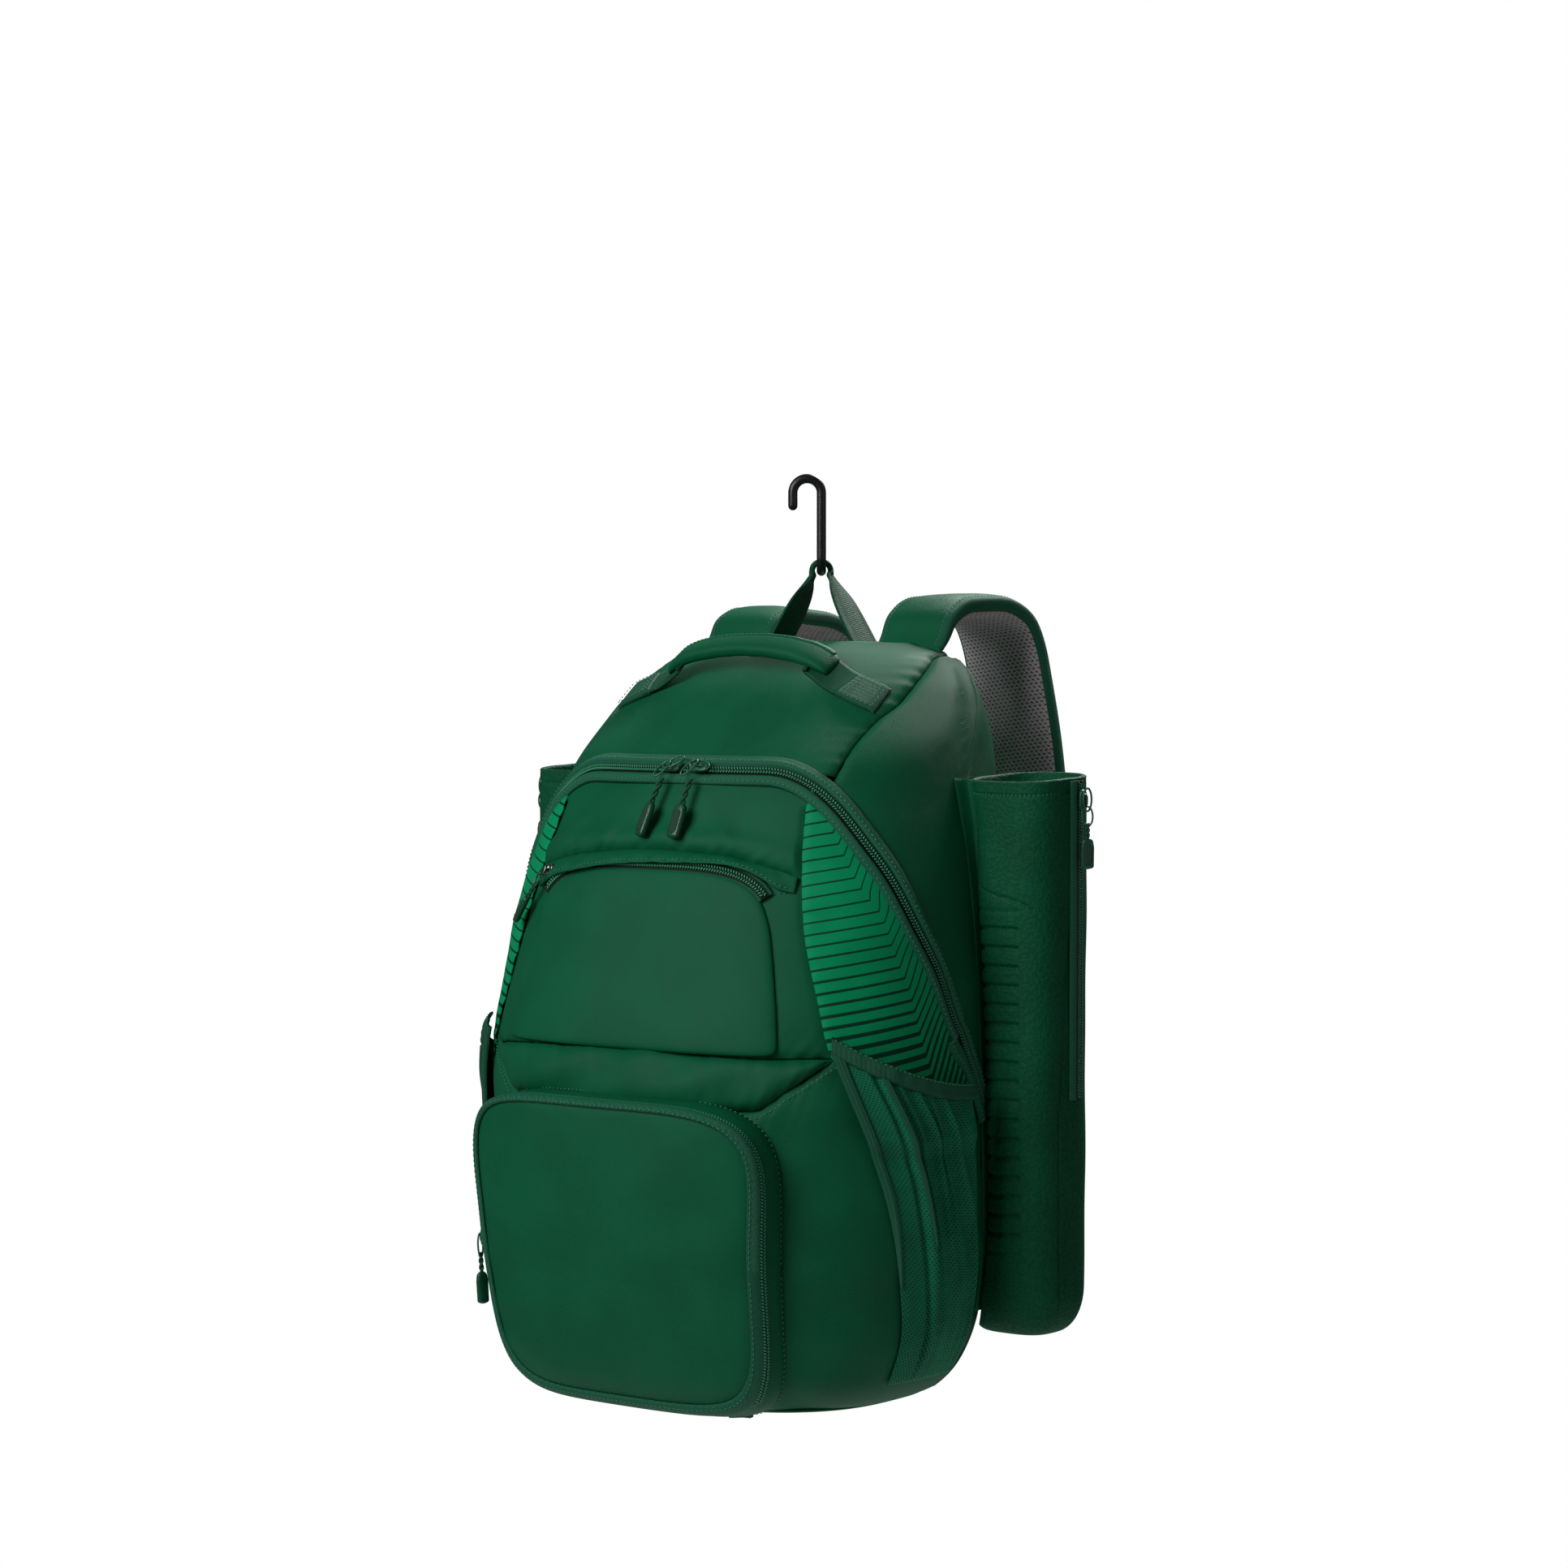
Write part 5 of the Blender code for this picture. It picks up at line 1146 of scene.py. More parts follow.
rows = [stitches(*line_on(lower_side, round_angles, 0 * round_angles + share, lift))
        for share, lift in ((0.955, 0.0021), (0.05, 0.0005))]
make_piece("lower_pocket_stitching", join(rows), thread)

u = np.pi
foot, out = lower_side.lifted(u, 0.70, 0.0016), lower_side.normal(np.array(u), np.array(0.70))
way = unit(np.array((0, 0, 1.0)) - out[2] * out)
make_piece("lower_zip_slider_body", join(slider_body(foot, way, out, 0.8)), slider_paint,
           ("lower_zip_slider",))
pull_surface = Surface(lambda a, v: foot + way * (v - foot[2])[..., None] + np.cross(way, out) * a[..., None])
make_piece("lower_zip_loop",
           wire_loop(foot + out * 0.0044 - way * 0.006, -way, np.cross(way, out), 0.016, 0.006,
                                       0.0013), wire_paint, ("lower_zip_slider",))
make_pull("lower_zip_pull", pull_surface, 0.0, float(foot[2]), SMALL_PULL, 0.0, 0.0046, 0.4, "lower_zip_pull",
          (0.24, 0.52), 1.1)


# The mesh pockets at the bottom corners: knitted mesh gathered into folds under an elastic band, its
# front edge bound with herringbone tape, sewn to the body at the front, foot and back.
MESH_BOTTOM, MESH_TOP_FRONT, MESH_TOP_BACK = 0.022, 0.238, 0.203
MESH_EDGE = ((0, 0.83), (0.10, 0.818), (0.33, 0.776), (0.55, 0.73), (0.78, 0.648), (0.96, 0.57), (1, 0.552))
MESH_BACK = -0.067          # depth of its seam in front of the bat sleeve
FOLD_RIDGES = (             # row, then where across the pocket each ridge lies
    (0.00, 0.05, 0.40, 0.52, 0.64, 0.76, 0.88, 1.02), (0.30, 0.02, 0.385, 0.50, 0.64, 0.76, 0.90, 1.10),
    (0.55, -0.02, 0.390, 0.46, 0.57, 0.68, 0.82, 1.05), (0.70, -0.04, 0.400, 0.455, 0.60, 0.665, 0.80, 0.98),
    (0.85, -0.06, 0.380, 0.475, 0.61, 0.645, 0.775, 0.92),
    (1.00, -0.08, 0.345, 0.430, 0.555, 0.650, 0.745, 0.86))
FOLD_HEIGHTS = ((0.0, 0.0), (0.12, 0.0016), (0.35, 0.0032), (0.6, 0.0046), (0.88, 0.0052), (1.0, 0.0030))
FOLD_SHARES = (0.0, 1.0, 0.55, 0.75, 0.5, 1.05, 0.6)      # of each ridge's height
VALLEY = ((0.0, 0.33), (0.2, 0.315), (0.5, 0.305), (0.7, 0.325), (0.85, 0.315), (1.0, 0.275))


def knit(name, colour, light, depth=0.00022, pitch=(0.0015, 0.00095)):
    """Knitted mesh: small holes in offset rows between paler yarns, blurred by faint mottling."""
    finish = Finish(name, {"Specular IOR Level": 0.18, "Sheen Weight": 0.06, "Sheen Tint": light})
    u, v = finish.cloth()
    row = v / pitch[1]
    holes = ((u / pitch[0] + row * 0.5).wave() * row.wave()).step(0.38, 0.75)
    slant = ((u * 0.8 + v) / 0.0026).wave()
    yarn = (1 - holes) * (slant * 0.35 + 0.65)
    mottle = finish.noise(0.03, 3.0).step(0.35, 0.65)
    finish.feed(finish.shader, {"Base Color": finish.mix(yarn * 0.8 + mottle * 0.15, colour, light),
                                "Roughness": 0.85 - yarn * 0.15})
    finish.relief(yarn, depth)
    return finish


def mesh_folds(row, across):
    """Height of the gathered folds: raised ridges over a phase that counts them, and one deep valley."""
    phase = np.zeros(np.broadcast(row, across).shape)
    share = np.zeros_like(phase)
    ridges = np.stack([smooth_line(np.array(FOLD_RIDGES)[:, [0, k]], row[:, 0]) for k in range(1, 8)], -1)
    for line in range(len(row)):
        phase[line] = np.interp(across[line], ridges[line], np.arange(7))
        share[line] = np.interp(across[line], ridges[line], FOLD_SHARES)
    height = smooth_line(FOLD_HEIGHTS, row) * share * (0.5 + 0.5 * np.cos(2 * np.pi * phase)) ** 1.3
    valley = smooth_line(VALLEY, row)
    return height - 0.0032 * np.exp(-((across - valley) / 0.028) ** 2) * np.clip(row * 9, 0, 1)


def mesh_lift(row, across, z):
    """How far the pocket stands off the skin: over the zip's tape, with its bulge and its folds."""
    bulge = 0.005 * np.sin(np.pi * across) ** 0.7 * np.sin(np.clip(row * 1.6, 0, 1) * np.pi / 2) ** 0.8
    under = 0.0022 + 0.0033 * np.clip((z - ZIP_END) / 0.010 + 2, 0, 1)
    return under + bulge + mesh_folds(row, across) * np.clip(np.minimum(across, 1 - across) / 0.06, 0, 1)


def mesh_turn(row, across):
    """Turn and height of a place on the pocket, from its front seam to the one by the sleeve."""
    front = smooth_line(MESH_EDGE, row)
    level = MESH_BOTTOM + (MESH_TOP_BACK - MESH_BOTTOM) * row
    back = turn_at_depth(np.full_like(level, MESH_BACK), level)
    mouth = MESH_TOP_FRONT + (MESH_TOP_BACK - MESH_TOP_FRONT) * (1 - (1 - across) ** 1.6)
    return front + (back - front) * (1 - 0.10 * row ** 2) * across, MESH_BOTTOM + (mouth - MESH_BOTTOM) * row


def mesh_grid(row, across, above=0.0):
    row, across = np.broadcast_arrays(np.asarray(row, float), np.asarray(across, float))
    turn, z = mesh_turn(row, across)
    return turn, z, mesh_lift(row, across, z) + above


def sides_points(turn, z, lift, sign):
    """Points on the right or left side of the body, in the order that keeps their outer side out."""
    points = skin.lifted(sign * turn, z, lift)
    return points if sign > 0 else points[:, ::-1]


mesh_knit = knit("mesh_knit", (0.0006, 0.020, 0.0090), (0.0060, 0.215, 0.108), 0.00030, (0.0030, 0.0019))
band_weave = herringbone("band_weave", (0.0030, 0.062, 0.030), (0.0120, 0.165, 0.088), 0.0012, 0.0035)
for side, sign in (("left", -1), ("right", 1)):
    row, across = np.linspace(0, 1, 110)[:, None], np.linspace(0, 1, 230)[None, :]
    points = sides_points(*mesh_grid(row, across), sign)
    pocket = make_cloth(f"mesh_pocket_{side}_cloth", points, mesh_knit, (f"mesh_pocket_{side}",),
                        wall=0.0008)
    cell = np.linalg.norm(np.cross(points[1:, :-1] - points[:-1, :-1], points[:-1, 1:] - points[:-1, :-1]),
                          axis=-1)
    wide, tall = float(reach(points, 1)[:, -1].max()), float(reach(points, 0)[-1].max())

    row = np.linspace(0.30, 1, 90)[:, None]
    wide = 0.10 * np.clip((row - 0.28) / 0.30, 0, 1) ** 0.7
    turn, z, lift = mesh_grid(row, wide * np.linspace(0.0, 1, 9)[None, :])
    edge = np.array((0.0, 0.0014, 0.0017, 0.0018, 0.0018, 0.0018, 0.0017, 0.0014, 0.0))[None, :]
    make_cloth(f"mesh_binding_{side}", sides_points(turn, z, lift + edge, sign), band_weave,
               (f"mesh_pocket_{side}",), wall=0.0008)
    row = np.linspace(0.46, 1, 80)[:, None]
    ridge = smooth_line(np.array(FOLD_RIDGES)[:, [0, 2]], row)
    wide = 0.036 * np.clip((row - 0.44) / 0.18, 0, 1) ** 0.7
    turn, z, lift = mesh_grid(row, ridge + wide * np.linspace(-1, 1, 9)[None, :])
    make_cloth(f"mesh_fold_tape_{side}", sides_points(turn, z, lift + edge * 0.6, sign), band_weave,
               (f"mesh_pocket_{side}",), wall=0.0005)

    across = np.linspace(-0.01, 1, 150)[None, :]
    rise = np.linspace(0, 1, 11)[:, None]
    turn, z, lift = mesh_grid(1.0, np.clip(across, 0, 1))
    hem = np.array((0.0, 0.0018, 0.0024, 0.0026, 0.0024, 0.0023, 0.0024, 0.0026, 0.0024, 0.0018,
                    0.0))[:, None]
    even = np.array([np.convolve(np.pad(lift[0], 12, "edge"), np.ones(25) / 25, "valid")])
    points = sides_points(turn + 0 * rise, z - 0.0010 + rise * 0.0112, even + hem, sign)
    make_cloth(f"mesh_band_{side}_tape", points, band_weave, (f"mesh_band_{side}",), wall=0.0016)
    middle = slice(3, -3)
    line = points[9, middle]
    out = skin.normal(sign * turn[0], z[0])
    out = (out if sign > 0 else out[::-1])[middle]
    make_piece(f"mesh_band_{side}_stitching", stitches(line + out * 0.0003, out), thread)


# The bat sleeves: neoprene tubes sewn to the bag's sides by a joining strip, with a rolled lip and hem
# stitches at the mouth, pressed ribs on the front, a seam round the corner and a zip down the outside.
SLEEVE_TOP, SLEEVE_BOTTOM, SLEEVE_MIDDLE = 0.411, 0.045, -0.022
SLEEVE_OUTER = BODY_WIDTH / 2 + 0.044
SLEEVE_WALL = 0.0036
SLEEVE_SEAT = 0.0041


def sleeve_point(sign, inset=0.0):
    """The sleeve's skin: a rounded square tube leaning on the body, narrowed in a quarter round at its toe."""
    def point(angle, z):
        angle, z = np.broadcast_arrays(np.asarray(angle, float) * sign, np.asarray(z, float))
        share = (z - SLEEVE_BOTTOM) / (SLEEVE_TOP - SLEEVE_BOTTOM)
        toe = np.clip((z - SLEEVE_BOTTOM) / 0.030, 0, 1)
        rounding = 0.55 + 0.45 * np.sqrt(1 - (1 - toe) ** 2)
        beside = side_at(np.full_like(z, SLEEVE_MIDDLE), z) + SLEEVE_SEAT
        half_x = (SLEEVE_OUTER - beside) / 2 * rounding - inset
        half_y = (0.062 + 0.006 * share) / 2 * rounding - inset
        c, s = np.cos(angle), np.sin(angle)
        x = (SLEEVE_OUTER + beside) / 2 + half_x * np.sign(c) * np.abs(c) ** (2 / 3.0)
        y = SLEEVE_MIDDLE + half_y * np.sign(s) * np.abs(s) ** (2 / 3.0)
        x = np.maximum(x, side_at(y, z) + SLEEVE_SEAT + inset)
        level = z + 0.0022 * np.sin(angle) * np.clip(share, 0, 1.1) ** 10
        return np.stack([x * sign, y, level], -1)
    return point


def pressed(angle, z):
    """Depth of the pressed marks: ribs on the front, a slanting line, a corner seam and the hem's groove."""
    degrees = np.degrees(angle)
    ribs = 0.5 + 0.5 * np.cos((z - 0.100) * 2 * np.pi / 0.0125)
    ribs = np.clip((ribs - 0.70) / 0.30, 0, 1)
    reach_out = np.clip((-76 - degrees) / 3, 0, 1) * np.clip((degrees + 176) / 4, 0, 1)
    high = np.clip((z - 0.098) / 0.006, 0, 1) * np.clip((0.328 - z) / 0.010, 0, 1)
    slant = np.exp(-(((z - 0.352) + (degrees + 171) * 0.00023) / 0.0010) ** 2) * (degrees < -56) * (degrees > -176)
    corner = np.exp(-((degrees + 2 - 14 * np.clip((z - 0.30) / 0.11, -1, 1)) / 1.6) ** 2) * (z < 0.400)
    hem = np.exp(-((z - 0.4015) / 0.0009) ** 2)
    return 0.0019 * ribs * reach_out * high + 0.0014 * slant + 0.0010 * corner + 0.0008 * hem


def neoprene(name, colour, light):
    """Neoprene faced with fine jersey: a pebbled skin under tiny knit rows, paler where it bulges."""
    finish = Finish(name, {"Specular IOR Level": 0.12, "Sheen Weight": 0.02, "Sheen Tint": light})
    where = finish.place()
    pebble = finish.noise(0.0022, 2.0, where).step(0.38, 0.62)
    fine = finish.noise(0.0006, 1.0, where)
    mottle = finish.noise(0.05, 3.0, where).step(0.35, 0.65)
    finish.feed(finish.shader, {"Base Color": finish.mix(pebble * 0.4 + mottle * 0.3, colour, light),
                                "Roughness": 0.62 + fine * 0.1 - pebble * 0.08})
    finish.relief(pebble + fine * 0.4, 0.00022)
    return finish


sleeve_neoprene = neoprene("sleeve_neoprene", (0.0008, 0.058, 0.0240), (0.0022, 0.098, 0.044))
toe_rows = SLEEVE_BOTTOM + 0.030 * np.linspace(0, 1, 14) ** 2
wall_rows = np.linspace(SLEEVE_BOTTOM + 0.030, SLEEVE_TOP - 0.0018, 420)[1:]
lip_turn = np.linspace(0, np.pi, 9)[1:-1]
lip_rows = SLEEVE_TOP - 0.0018 + 0.0018 * np.sin(lip_turn)
lip_insets = SLEEVE_WALL / 2 * (1 - np.cos(lip_turn))
inner_rows = np.concatenate([np.linspace(SLEEVE_TOP - 0.0018, 0.080, 40),
                             SLEEVE_BOTTOM + 0.004 + 0.026 * np.linspace(
    1, 0, 8) ** 2])
SLEEVE_ANGLE = (np.arange(300) + 0.5) * 2 * np.pi / 300 - np.pi * 1.1
for side, sign in (("left", -1), ("right", 1)):
    sleeve = Surface(sleeve_point(sign))
    outer_z = np.concatenate([toe_rows, wall_rows])[:, None]
    relief = pressed(SLEEVE_ANGLE[None, :], outer_z)
    # The walls are a little slack
    relief = relief - 0.0008 * swells(np.degrees(SLEEVE_ANGLE)[None, :] / 900, outer_z, 0.11, 51) * 0.6
    outer = sleeve.lifted(SLEEVE_ANGLE[None, :], outer_z, -relief * np.clip((outer_z - 0.05) / 0.02, 0, 1))
    lip = np.stack([sleeve_point(sign, inset)(SLEEVE_ANGLE, z) for z, inset in zip(lip_rows, lip_insets)])
    inner = sleeve_point(sign, SLEEVE_WALL)(SLEEVE_ANGLE[None, :], inner_rows[:, None])
    points = np.concatenate([outer, lip, inner])
    rows, columns = points.shape[:2]
    faces = grid_faces(rows, columns, wrap=True).tolist()
    faces += [list(range(columns))[::-1], list(range((rows - 1) * columns, rows * columns))]
    cloth = np.concatenate([grid_cloth(points, True), np.zeros((2 * columns, 2))])
    make_piece(f"bat_sleeve_{side}_tube", (points, faces, cloth), sleeve_neoprene,
               (f"bat_sleeve_{side}",))

    hem_angle = np.linspace(-np.pi * 1.0, -0.22, 200)
    make_piece(f"sleeve_hem_stitching_{side}",
               stitches(*line_on(sleeve, hem_angle, 0 * hem_angle + 0.4015, -0.0004),
                                                        pitch=0.0030, length=0.0021), thread)

    # The strip of cloth that joins the tube to the body's side, in front and behind
    for end, depth, angle, slack in (("front", -0.0545, -2.42, 0.004), ("back", 0.0120, 2.35, -0.002)):
        z = np.linspace(0.060, SLEEVE_TOP - 0.001, 120)[:, None]
        near = skin.lifted(sign * turn_at_depth(np.full_like(z, depth), z), z, 0.0006)
        far = sleeve.lifted(angle, z, 0.0002)
        across = np.linspace(0, 1, 12)[None, :, None]
        points = near + (far - near) * across + np.array((0, slack, 0)) * np.sin(np.pi * across)
        if (end == "back") == (sign > 0):
            points = points[:, ::-1]
        make_cloth(f"sleeve_join_{end}_{side}", points, shell_twill, (), wall=0.0012)

    # The zip on the outer edge, its slider at the mouth and its pull
    z = np.linspace(0.200, SLEEVE_TOP - 0.002, 220)
    u = np.full(len(z), 0.08)
    offsets, lifts = (np.array((-0.006, -0.0058, -0.0035, -0.0012, 0, 0.0012, 0.0035, 0.0058, 0.006)),
                      np.array((0.0002, 0.0014, 0.0019, 0.0019, 0.0012, 0.0019, 0.0019, 0.0014, 0.0002)))
    points = strip(sleeve, u[::-1], z[::-1], offsets, lifts)
    make_cloth(f"sleeve_zip_tape_{side}", points, zip_tape, (f"sleeve_zip_{side}",), wall=0.0008)
    make_piece(f"sleeve_zip_coil_{side}", coil(*line_on(sleeve, u, z, 0.0016), pitch=0.0019, row=0.0014,
                                               tooth=(0.0019, 0.0011, 0.0011)), coil_finish,
               (f"sleeve_zip_{side}",))
    u, v = 0.08, SLEEVE_TOP - SLIDER_LENGTH
    foot, out = sleeve.lifted(u, v, 0.0024), sleeve.normal(np.array(u), np.array(v))
    way = np.array((0, 0, 1.0))
    aside = np.cross(way, out)
    make_piece(f"sleeve_zip_slider_{side}_body", join(slider_body(foot, way, out, 0.95)), slider_paint,
               (f"sleeve_zip_slider_{side}",))
    make_piece(f"sleeve_zip_loops_{side}", join([
        wire_loop(foot + out * 0.0050 + way * 0.0005, way, unit(aside + out * 0.3), 0.0150, 0.0072, 0.0014),
        wire_loop(foot + out * 0.0050 - way * 0.0105, way, unit(aside * 0.5 + out), 0.0130, 0.0070, 0.0013)]),
        wire_paint, (f"sleeve_zip_slider_{side}",))
    make_pull(f"sleeve_zip_pull_{side}", sleeve, u, v, SMALL_PULL, 0.0, 0.0074, 0.9,
              f"sleeve_zip_pull_{side}",
              (0.34, 0.54), 1.15)


# The haul loop and the hook it hangs on: ribbed webbing sewn into the top seam, whose edges fold
# where it lies in the hook's lower bend, and a round steel rod with an open bend at each end.
BEND, ROD, TIP, HOOK_FOOT, HOOK_HEAD = 0.0098, 0.0065, 0.012, 0.5482, 0.6115
WEBBING_WIDTH, WEBBING_THICK = 0.025, 0.0018
ACROSS, AHEAD, UP = (np.array(way) for way in (
    (np.cos(eye_turn), np.sin(eye_turn), 0), (-np.sin(eye_turn), np.cos(eye_turn), 0), (0, 0, 1.0)))


def ribbed(name, colour, light, rib=0.0015, depth=0.00022):
    """Grosgrain webbing: cords across the strip under short threads, paler on top."""
    finish = Finish(name, {"Specular IOR Level": 0.22, "Sheen Weight": 0.12, "Sheen Tint": light})
    across, along = finish.cloth()
    cord = (along / rib).wave()
    thread = (across / (rib * 0.55) + along / (rib * 2)).wave()
    weave = cord * (thread * 0.3 + 0.7)
    finish.feed(finish.shader,
                {"Base Color": finish.mix(weave * 0.8, colour, light), "Roughness": 0.74 - weave * 0.1})
    finish.relief(weave, depth)
    return finish


def folded(flat, width, bend=0.0020, count=49):
    """Places across and above a strip's middle when its edges turn under where the flat part ends."""
    width, flat = width[:, None], flat[:, None]
    share = np.linspace(-1, 1, count)
    slope = -np.sign(share) * np.pi * np.clip((np.abs(share) * width - flat) / (np.pi * bend), 0, 1)
    step = width * 2 / (count - 1)
    run, rise = (np.cumsum((part[:, 1:] + part[:, :-1]) / 2 * step, 1) for part in
                 (np.cos(slope), np.sin(slope)))
    run, rise = (np.concatenate([0 * part[:, :1], part], 1) for part in (run, rise))
    middle = count // 2
    return run - run[:, middle:middle + 1], rise - rise[:, middle:middle + 1]


webbing = ribbed("ribbed_webbing", (0.0014, 0.038, 0.0165), (0.0065, 0.120, 0.060))
radius = ROD / 2 + 0.0052
bend = np.radians(np.linspace(195, -15, 41))[:, None]
over = ACROSS * radius * np.cos(bend) + UP * (HOOK_FOOT + radius * np.sin(bend))
share = np.linspace(0, 1, 80)[:-1, None]
feet = [np.array((sign * 0.040, 0, 0.4960)) for sign in (-1, 1)]
bow = np.array((0.0016, 0, 0)) * np.sin(np.pi * share)
line = np.concatenate([feet[0] + (over[0] - feet[0]) * share + bow, over,
                       (feet[1] + (over[-1] - feet[1]) * share - bow * 0.5)[::-1]])
rise = np.clip((line[:, 2] - 0.5) / (HOOK_FOOT - 0.5), 0, 1)
along = unit(np.gradient(line, axis=0))
twist = rise[:, None] ** 3
side = (1 - twist) * (0.05, 1.0, 0) + twist * AHEAD
side = unit(side - (side * along).sum(-1, keepdims=True) * along)
fold = rise ** 6
run, height = folded(0.0125 - 0.0102 * fold, 0.0125 - 0.0018 * fold)
points = line[:, None] - side[:, None] * run[..., None] + np.cross(along, side)[:, None] * height[..., None]
make_cloth("haul_loop_webbing", points, webbing, ("haul_loop",), wall=WEBBING_THICK)

angle = np.linspace(0, np.pi, 37)[:, None]
stem = -AHEAD * BEND
high = stem + UP * (HOOK_HEAD - BEND) - ACROSS * BEND * (1 - np.cos(angle)) + UP * BEND * np.sin(angle)
low = stem + UP * (HOOK_FOOT + BEND) + AHEAD * BEND * (1 - np.cos(angle)) - UP * BEND * np.sin(angle)
rounding = TIP - ROD / 2 + ROD / 2 * np.sin(np.linspace(0, 1, 9) * np.pi / 2)[:, None]
tips = np.concatenate([np.linspace(0, TIP - ROD / 2, 8)[1:-1, None], rounding])
line = np.concatenate([(high[-1] - UP * tips)[::-1], high[::-1], np.linspace(high[0], low[0], 20)[1:-1], low,
                       low[-1] + UP * tips])
ends = np.concatenate([np.ones(6), np.sqrt(1 - (0.995 * (rounding[:, 0] - rounding[0, 0]) * 2 / ROD) ** 2)])
size = np.concatenate([ends[::-1], np.ones(len(line) - 2 * len(ends)), ends]) * ROD
turned = np.clip((line[:, 2:] - low[0, 2]) / (high[0, 2] - low[0, 2]), 0, 1)
steel = moulded("hook_steel", (0.008, 0.008, 0.009), (0.020, 0.020, 0.022), 0.26, 0.0009, 0.00003)
steel.feed(steel.shader, {"Metallic": 0.35, "Specular IOR Level": 0.6})
make_piece("fence_hook_rod",
           bar(swept(line, ACROSS * (1 - turned) + AHEAD * turned, size, size, rounded_ring(24, 2))),
           steel, ("fence_hook",))


# The grab handle: a padded tube of the body's cloth with a row of stitches along its upper edge,
# on ribbed webbing that is folded into a box-stitched patch at each end.
HANDLE_LENGTH = 0.132
HANDLE_Z, HANDLE_DROP = 0.482, 0.004


def handle_centres(x):
    """The handle's middle line over x: it bows off the skin, and thins out towards its ends."""
    bow = np.clip(1 - (2 * x / HANDLE_LENGTH) ** 2, 0, 1)
    z = HANDLE_Z - HANDLE_DROP * (1 - bow)
    turn = turn_at(x, z)
    thick = 0.010 * (1 - 0.45 * (1 - bow) ** 3)
    return skin.lifted(turn, z, 0.0029 + thick / 2 + 0.010 * np.sqrt(bow)), skin.normal(turn, z), thick


def settled(piece, sewn, pressure, travel, frames=20):
    """Lets a piece's cloth settle over its filling, held where it is sewn, and caps how far it may go."""
    mesh, scene = piece.data, bpy.context.scene
    start = np.empty(len(mesh.vertices) * 3)
    mesh.vertices.foreach_get("co", start)
    piece.vertex_groups.new(name="sewn").add(np.flatnonzero(sewn).tolist(), 1.0, "REPLACE")
    filling = piece.modifiers.new("filling", "CLOTH")
    piece.modifiers.move(len(piece.modifiers) - 1, 0)
    cloth = filling.settings
    cloth.vertex_group_mass = "sewn"
    cloth.quality, cloth.mass = 6, 0.2
    cloth.tension_stiffness = cloth.compression_stiffness = 20
    cloth.bending_stiffness = 1.5
    cloth.use_pressure, cloth.uniform_pressure_force = True, pressure
    cloth.effector_weights.gravity = 0
    filling.point_cache.frame_start, filling.point_cache.frame_end = 1, frames
    others = [modifier for modifier in piece.modifiers if modifier != filling]
    for modifier in others:
        modifier.show_viewport = False
    for frame in range(1, frames + 1):
        scene.frame_set(frame)
    ended = piece.evaluated_get(bpy.context.evaluated_depsgraph_get())
    end = np.empty(len(start))
    ended.data.vertices.foreach_get("co", end)
    piece.modifiers.remove(filling)
    for modifier in others:
        modifier.show_viewport = True
    scene.frame_set(1)
    move = (end - start).reshape(-1, 3)
    length = np.linalg.norm(move, axis=1, keepdims=True)
    move = move * np.minimum(1, travel / np.maximum(length, 1e-9))
    mesh.vertices.foreach_set("co", start + move.ravel())
    mesh.update()


x = np.linspace(-0.5, 0.5, 130) * HANDLE_LENGTH
centres, out, thick = handle_centres(x)
side = np.cross(out, np.gradient(centres, axis=0))
ends = rounded_ends(np.linspace(0, 1, 130), 0.035)
wobble = 1 + 0.035 * swells(x, 0 * x, 0.016, 61) * ends
centres = centres - side / np.linalg.norm(side, axis=-1, keepdims=True) * 0.0012
rings = swept(centres, side, 0.0208 * np.interp(ends, (0, 1), (0.84, 1)) * wobble,
              thick * np.interp(ends, (0, 1), (0.55, 1)), rounded_ring(36, 2.7))
piece = make_piece("grab_handle_pad", bar(rings), shell_twill, ("grab_handle",))
sewn = np.zeros(rings.shape[:2], bool)
sewn[:3] = sewn[-3:] = True
settled(piece, sewn.ravel(), 3.0, 0.0015)
proud = np.array((1.0, 1.10, 1.13, 1.13, 1.13, 1.13, 1.13, 1.10, 1.0))[None, :, None]
lip = centres[3:-3, None] + (rings[3:-3][:, np.arange(-2, 7)] - centres[3:-3, None]) * proud
make_cloth("grab_handle_lip", lip, shell_twill, ("grab_handle",), wall=0.0014)
row = rings[4:-4, 5] + (rings[4:-4, 5] - centres[4:-4]) * 0.13
make_piece("grab_handle_stitching", stitches(row, unit(rings[4:-4, 5] - centres[4:-4])), thread)


def blunt_edge(offsets, blunt):
    """Heights across a tape: 1 in the middle, falling to 0 over the outer share blunt of its half width."""
    return np.minimum(1, (1 - np.abs(offsets / offsets[-1])) / blunt) ** 0.5


def box_stitching(name, us, vs, margin, half, crossings, lift):
    """Stitches along both edges of a patch on the skin and across it at some of its rows, as one piece."""
    rows = [stitches(*line_on(skin, us[margin:-margin], vs[margin:-margin], lift, aside))
            for aside in (-half, half)]
    across_u, across_v = skin.beside(us, vs, np.linspace(-half, half, 20))
    for at in crossings:
        rows.append(stitches(skin.lifted(across_u[at], across_v[at], lift),
                             skin.normal(across_u[at], across_v[at])))
    make_piece(name, join(rows), thread)


